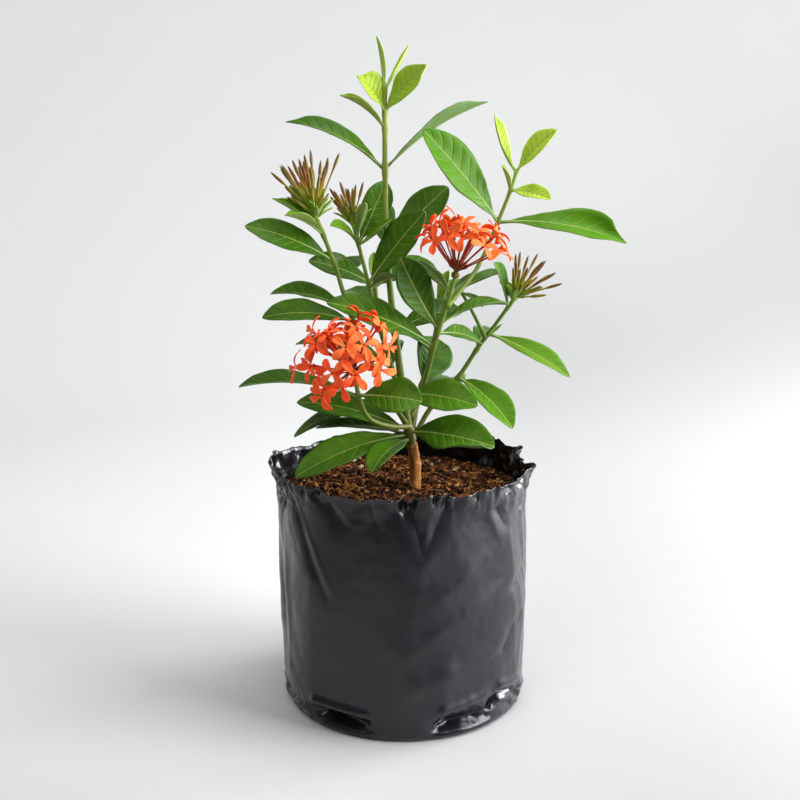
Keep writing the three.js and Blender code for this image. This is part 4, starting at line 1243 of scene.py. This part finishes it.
for name, cluster in BUD_CLUSTERS.items():
    root, seed, count = core_centre(cluster, BUD_CORE), cluster.seed, cluster.count
    spray = bmesh.new()
    layers = float_layers(spray, "part", "age", "stripe")
    looser = cluster._replace(seed=seed + 30, spread=cluster.spread + LOOSE_SPREAD)
    outwards = [*spread_directions(cluster, count), *spread_directions(looser, count)]
    for item, outward in enumerate(outwards):
        size = BUD_SHORTEST + (BUD_LONGEST - BUD_SHORTEST) * draw(seed + item + 0.71)
        long = (cluster.reach - BUD_CORE) * size
        age = 0.7 * draw(seed + item + 0.91)
        if item >= count:
            long, age = long * (0.4 + 0.4 * draw(item * 0.37)), 0.75 + 0.25 * draw(item + 0.91)
        side = outward.cross(Vector((0.3, 0.9, 0.2))).normalized()
        over = side.cross(outward)
        bow = BUD_BOW * long * (draw(seed + item + 0.21) - 0.5)
        head_from = 1 - BUD_HEAD / long

        def bud_skin(turn, share):
            up_head = min(1, max(0, (share - head_from) / (1 - head_from)))
            swell = BUD_SWELL * sin(pi * up_head ** 0.7)
            point = sqrt(max(0.004, 1 - max(0, (share - 0.9) / 0.1) ** 2))
            calyx = BUD_CALYX * exp(-((share - 0.24) / 0.045) ** 2)
            rib = 1 + BUD_RIB * cos(4 * turn + BUD_TWIST * share)
            girth = (BUD_NECK - 0.1 * share + swell + calyx) * point * rib
            bend = over * bow * sin(pi * share)
            return root + outward * long * share + bend + spoke(side, over, turn) * girth

        for vert in wrapped(spray, 8, 16, bud_skin):
            share = (vert.co - root).dot(outward) / long
            off = vert.co - root - outward * long * share
            turn = atan2(off.dot(over), off.dot(side))
            # Where the crests of the ribs lie, which the finish paints pale as lit: a painted
            # highlight.
            mark(vert, layers, part=share, age=age, stripe=cos(4 * turn + BUD_TWIST * share))
    lay_knob(spray, root, BUD_KNOB, 1, Vector())
    bmesh.ops.recalc_face_normals(spray, faces=spray.faces[:])
    finish_piece(name.replace("buds", "bud_spray"), spray, bud, [name])

# ---- The studio ----
# A seamless pale bowl of paper whose floor sweeps up into its wall all round, soft lights high
# up and to the right, and the camera at about an arm's length, looking a little down. The paper
# is painted dark grey in front of the bag and darker on the near right: a painted shade.
FLOOR_REACH = 0.9
SWEEP_RADIUS = 1.45
WALL_TOP = 3.6
SWEEP_STEPS = 24
BOWL_TURNS = 128
# Lights: place, the point each aims at, size, power and colour.
LIGHTS = {
    "key_right": ((1.45, -0.42, 0.7), (0, 0, 0.15), 1.0, 37, (0.96, 0.98, 1)),
    "edge_right": ((1.25, 0.55, 0.5), (0, 0, 0.12), 0.6, 18, (0.97, 0.98, 1)),
    "front_fill": ((-0.7, -1.3, 1.7), (0, 0, 0.25), 1.2, 12.5, (1, 0.99, 0.98)),
    "front_glint": ((1.0, -0.43, 1.2), (0, -0.06, 0.02), 0.5, 5, (0.95, 0.97, 1)),
    "overhead": ((-0.1, -0.3, 2.3), (0, 0, 0.2), 1.0, 10, (1, 1, 1)),
    "rear": ((0.2, 0.8, 2.2), (0, 0.2, 0.1), 1.8, 4, (1, 1, 1)),
    "sheet_light": ((0.6, 0.2, 2.0), (1.0, 2.35, 0.6), 1.2, 31, (1, 0.995, 0.99)),
}
AIR_COLOUR = (0.93, 0.95, 1, 1)
AIR_STRENGTH = 0.1
LENS = 50
FILM_WIDTH = 36
CAMERA_PLACE = (-0.0032, -0.738, 0.368)
CAMERA_TILT = 77.85

bowl_profile = [(FLOOR_REACH + SWEEP_RADIUS, WALL_TOP)]
for step in range(SWEEP_STEPS, -1, -1):
    turn = pi / 2 * step / SWEEP_STEPS
    radius = FLOOR_REACH + SWEEP_RADIUS * sin(turn)
    bowl_profile.append((radius, SWEEP_RADIUS * (1 - cos(turn))))
paper = Finish("studio_paper", roughness=0.6)
across, depth = paper.axis(0), paper.axis(1)
# Painted shade: the paper is darker on the near right, where the key light falls brightest, and
# dark grey in front of the bag, so the film reflects a dark front.
right_painted_shade = paper.rise(across, -0.15, 0.2) * (1 - paper.rise(depth, 1.1, 2.0))
paper_with_painted_shade = paper.mix(right_painted_shade, 0xcecece, 0xaeaeae)
paper.set("Base Color", paper.mix(paper.rise(depth, -0.9, 0.05), 0x666666, paper_with_painted_shade))
studio_sheet = add_mesh("studio_sheet", turned([*bowl_profile, (0, 0)], BOWL_TURNS), paper)

for name, (place, aim, size, power, colour) in LIGHTS.items():
    lamp = bpy.data.lights.new(name, "AREA")
    lamp.shape, lamp.size, lamp.energy, lamp.color = "SQUARE", size, power, colour
    light = add_object(name, lamp)
    light.location = place
    light.visible_camera = False
    light.rotation_euler = (Vector(aim) - Vector(place)).to_track_quat("-Z", "Y").to_euler()

world = bpy.data.worlds.new("studio_air")
world.use_nodes = True
world.node_tree.nodes["Background"].inputs["Color"].default_value = AIR_COLOUR
world.node_tree.nodes["Background"].inputs["Strength"].default_value = AIR_STRENGTH
bpy.context.scene.world = world
bpy.context.scene.view_settings.view_transform = "Standard"

lens = bpy.data.cameras.new("camera")
lens.lens = LENS
lens.sensor_width = FILM_WIDTH
camera = add_object("camera", lens)
camera.location = CAMERA_PLACE
camera.rotation_euler = (radians(CAMERA_TILT), 0, 0)
bpy.context.scene.camera = camera
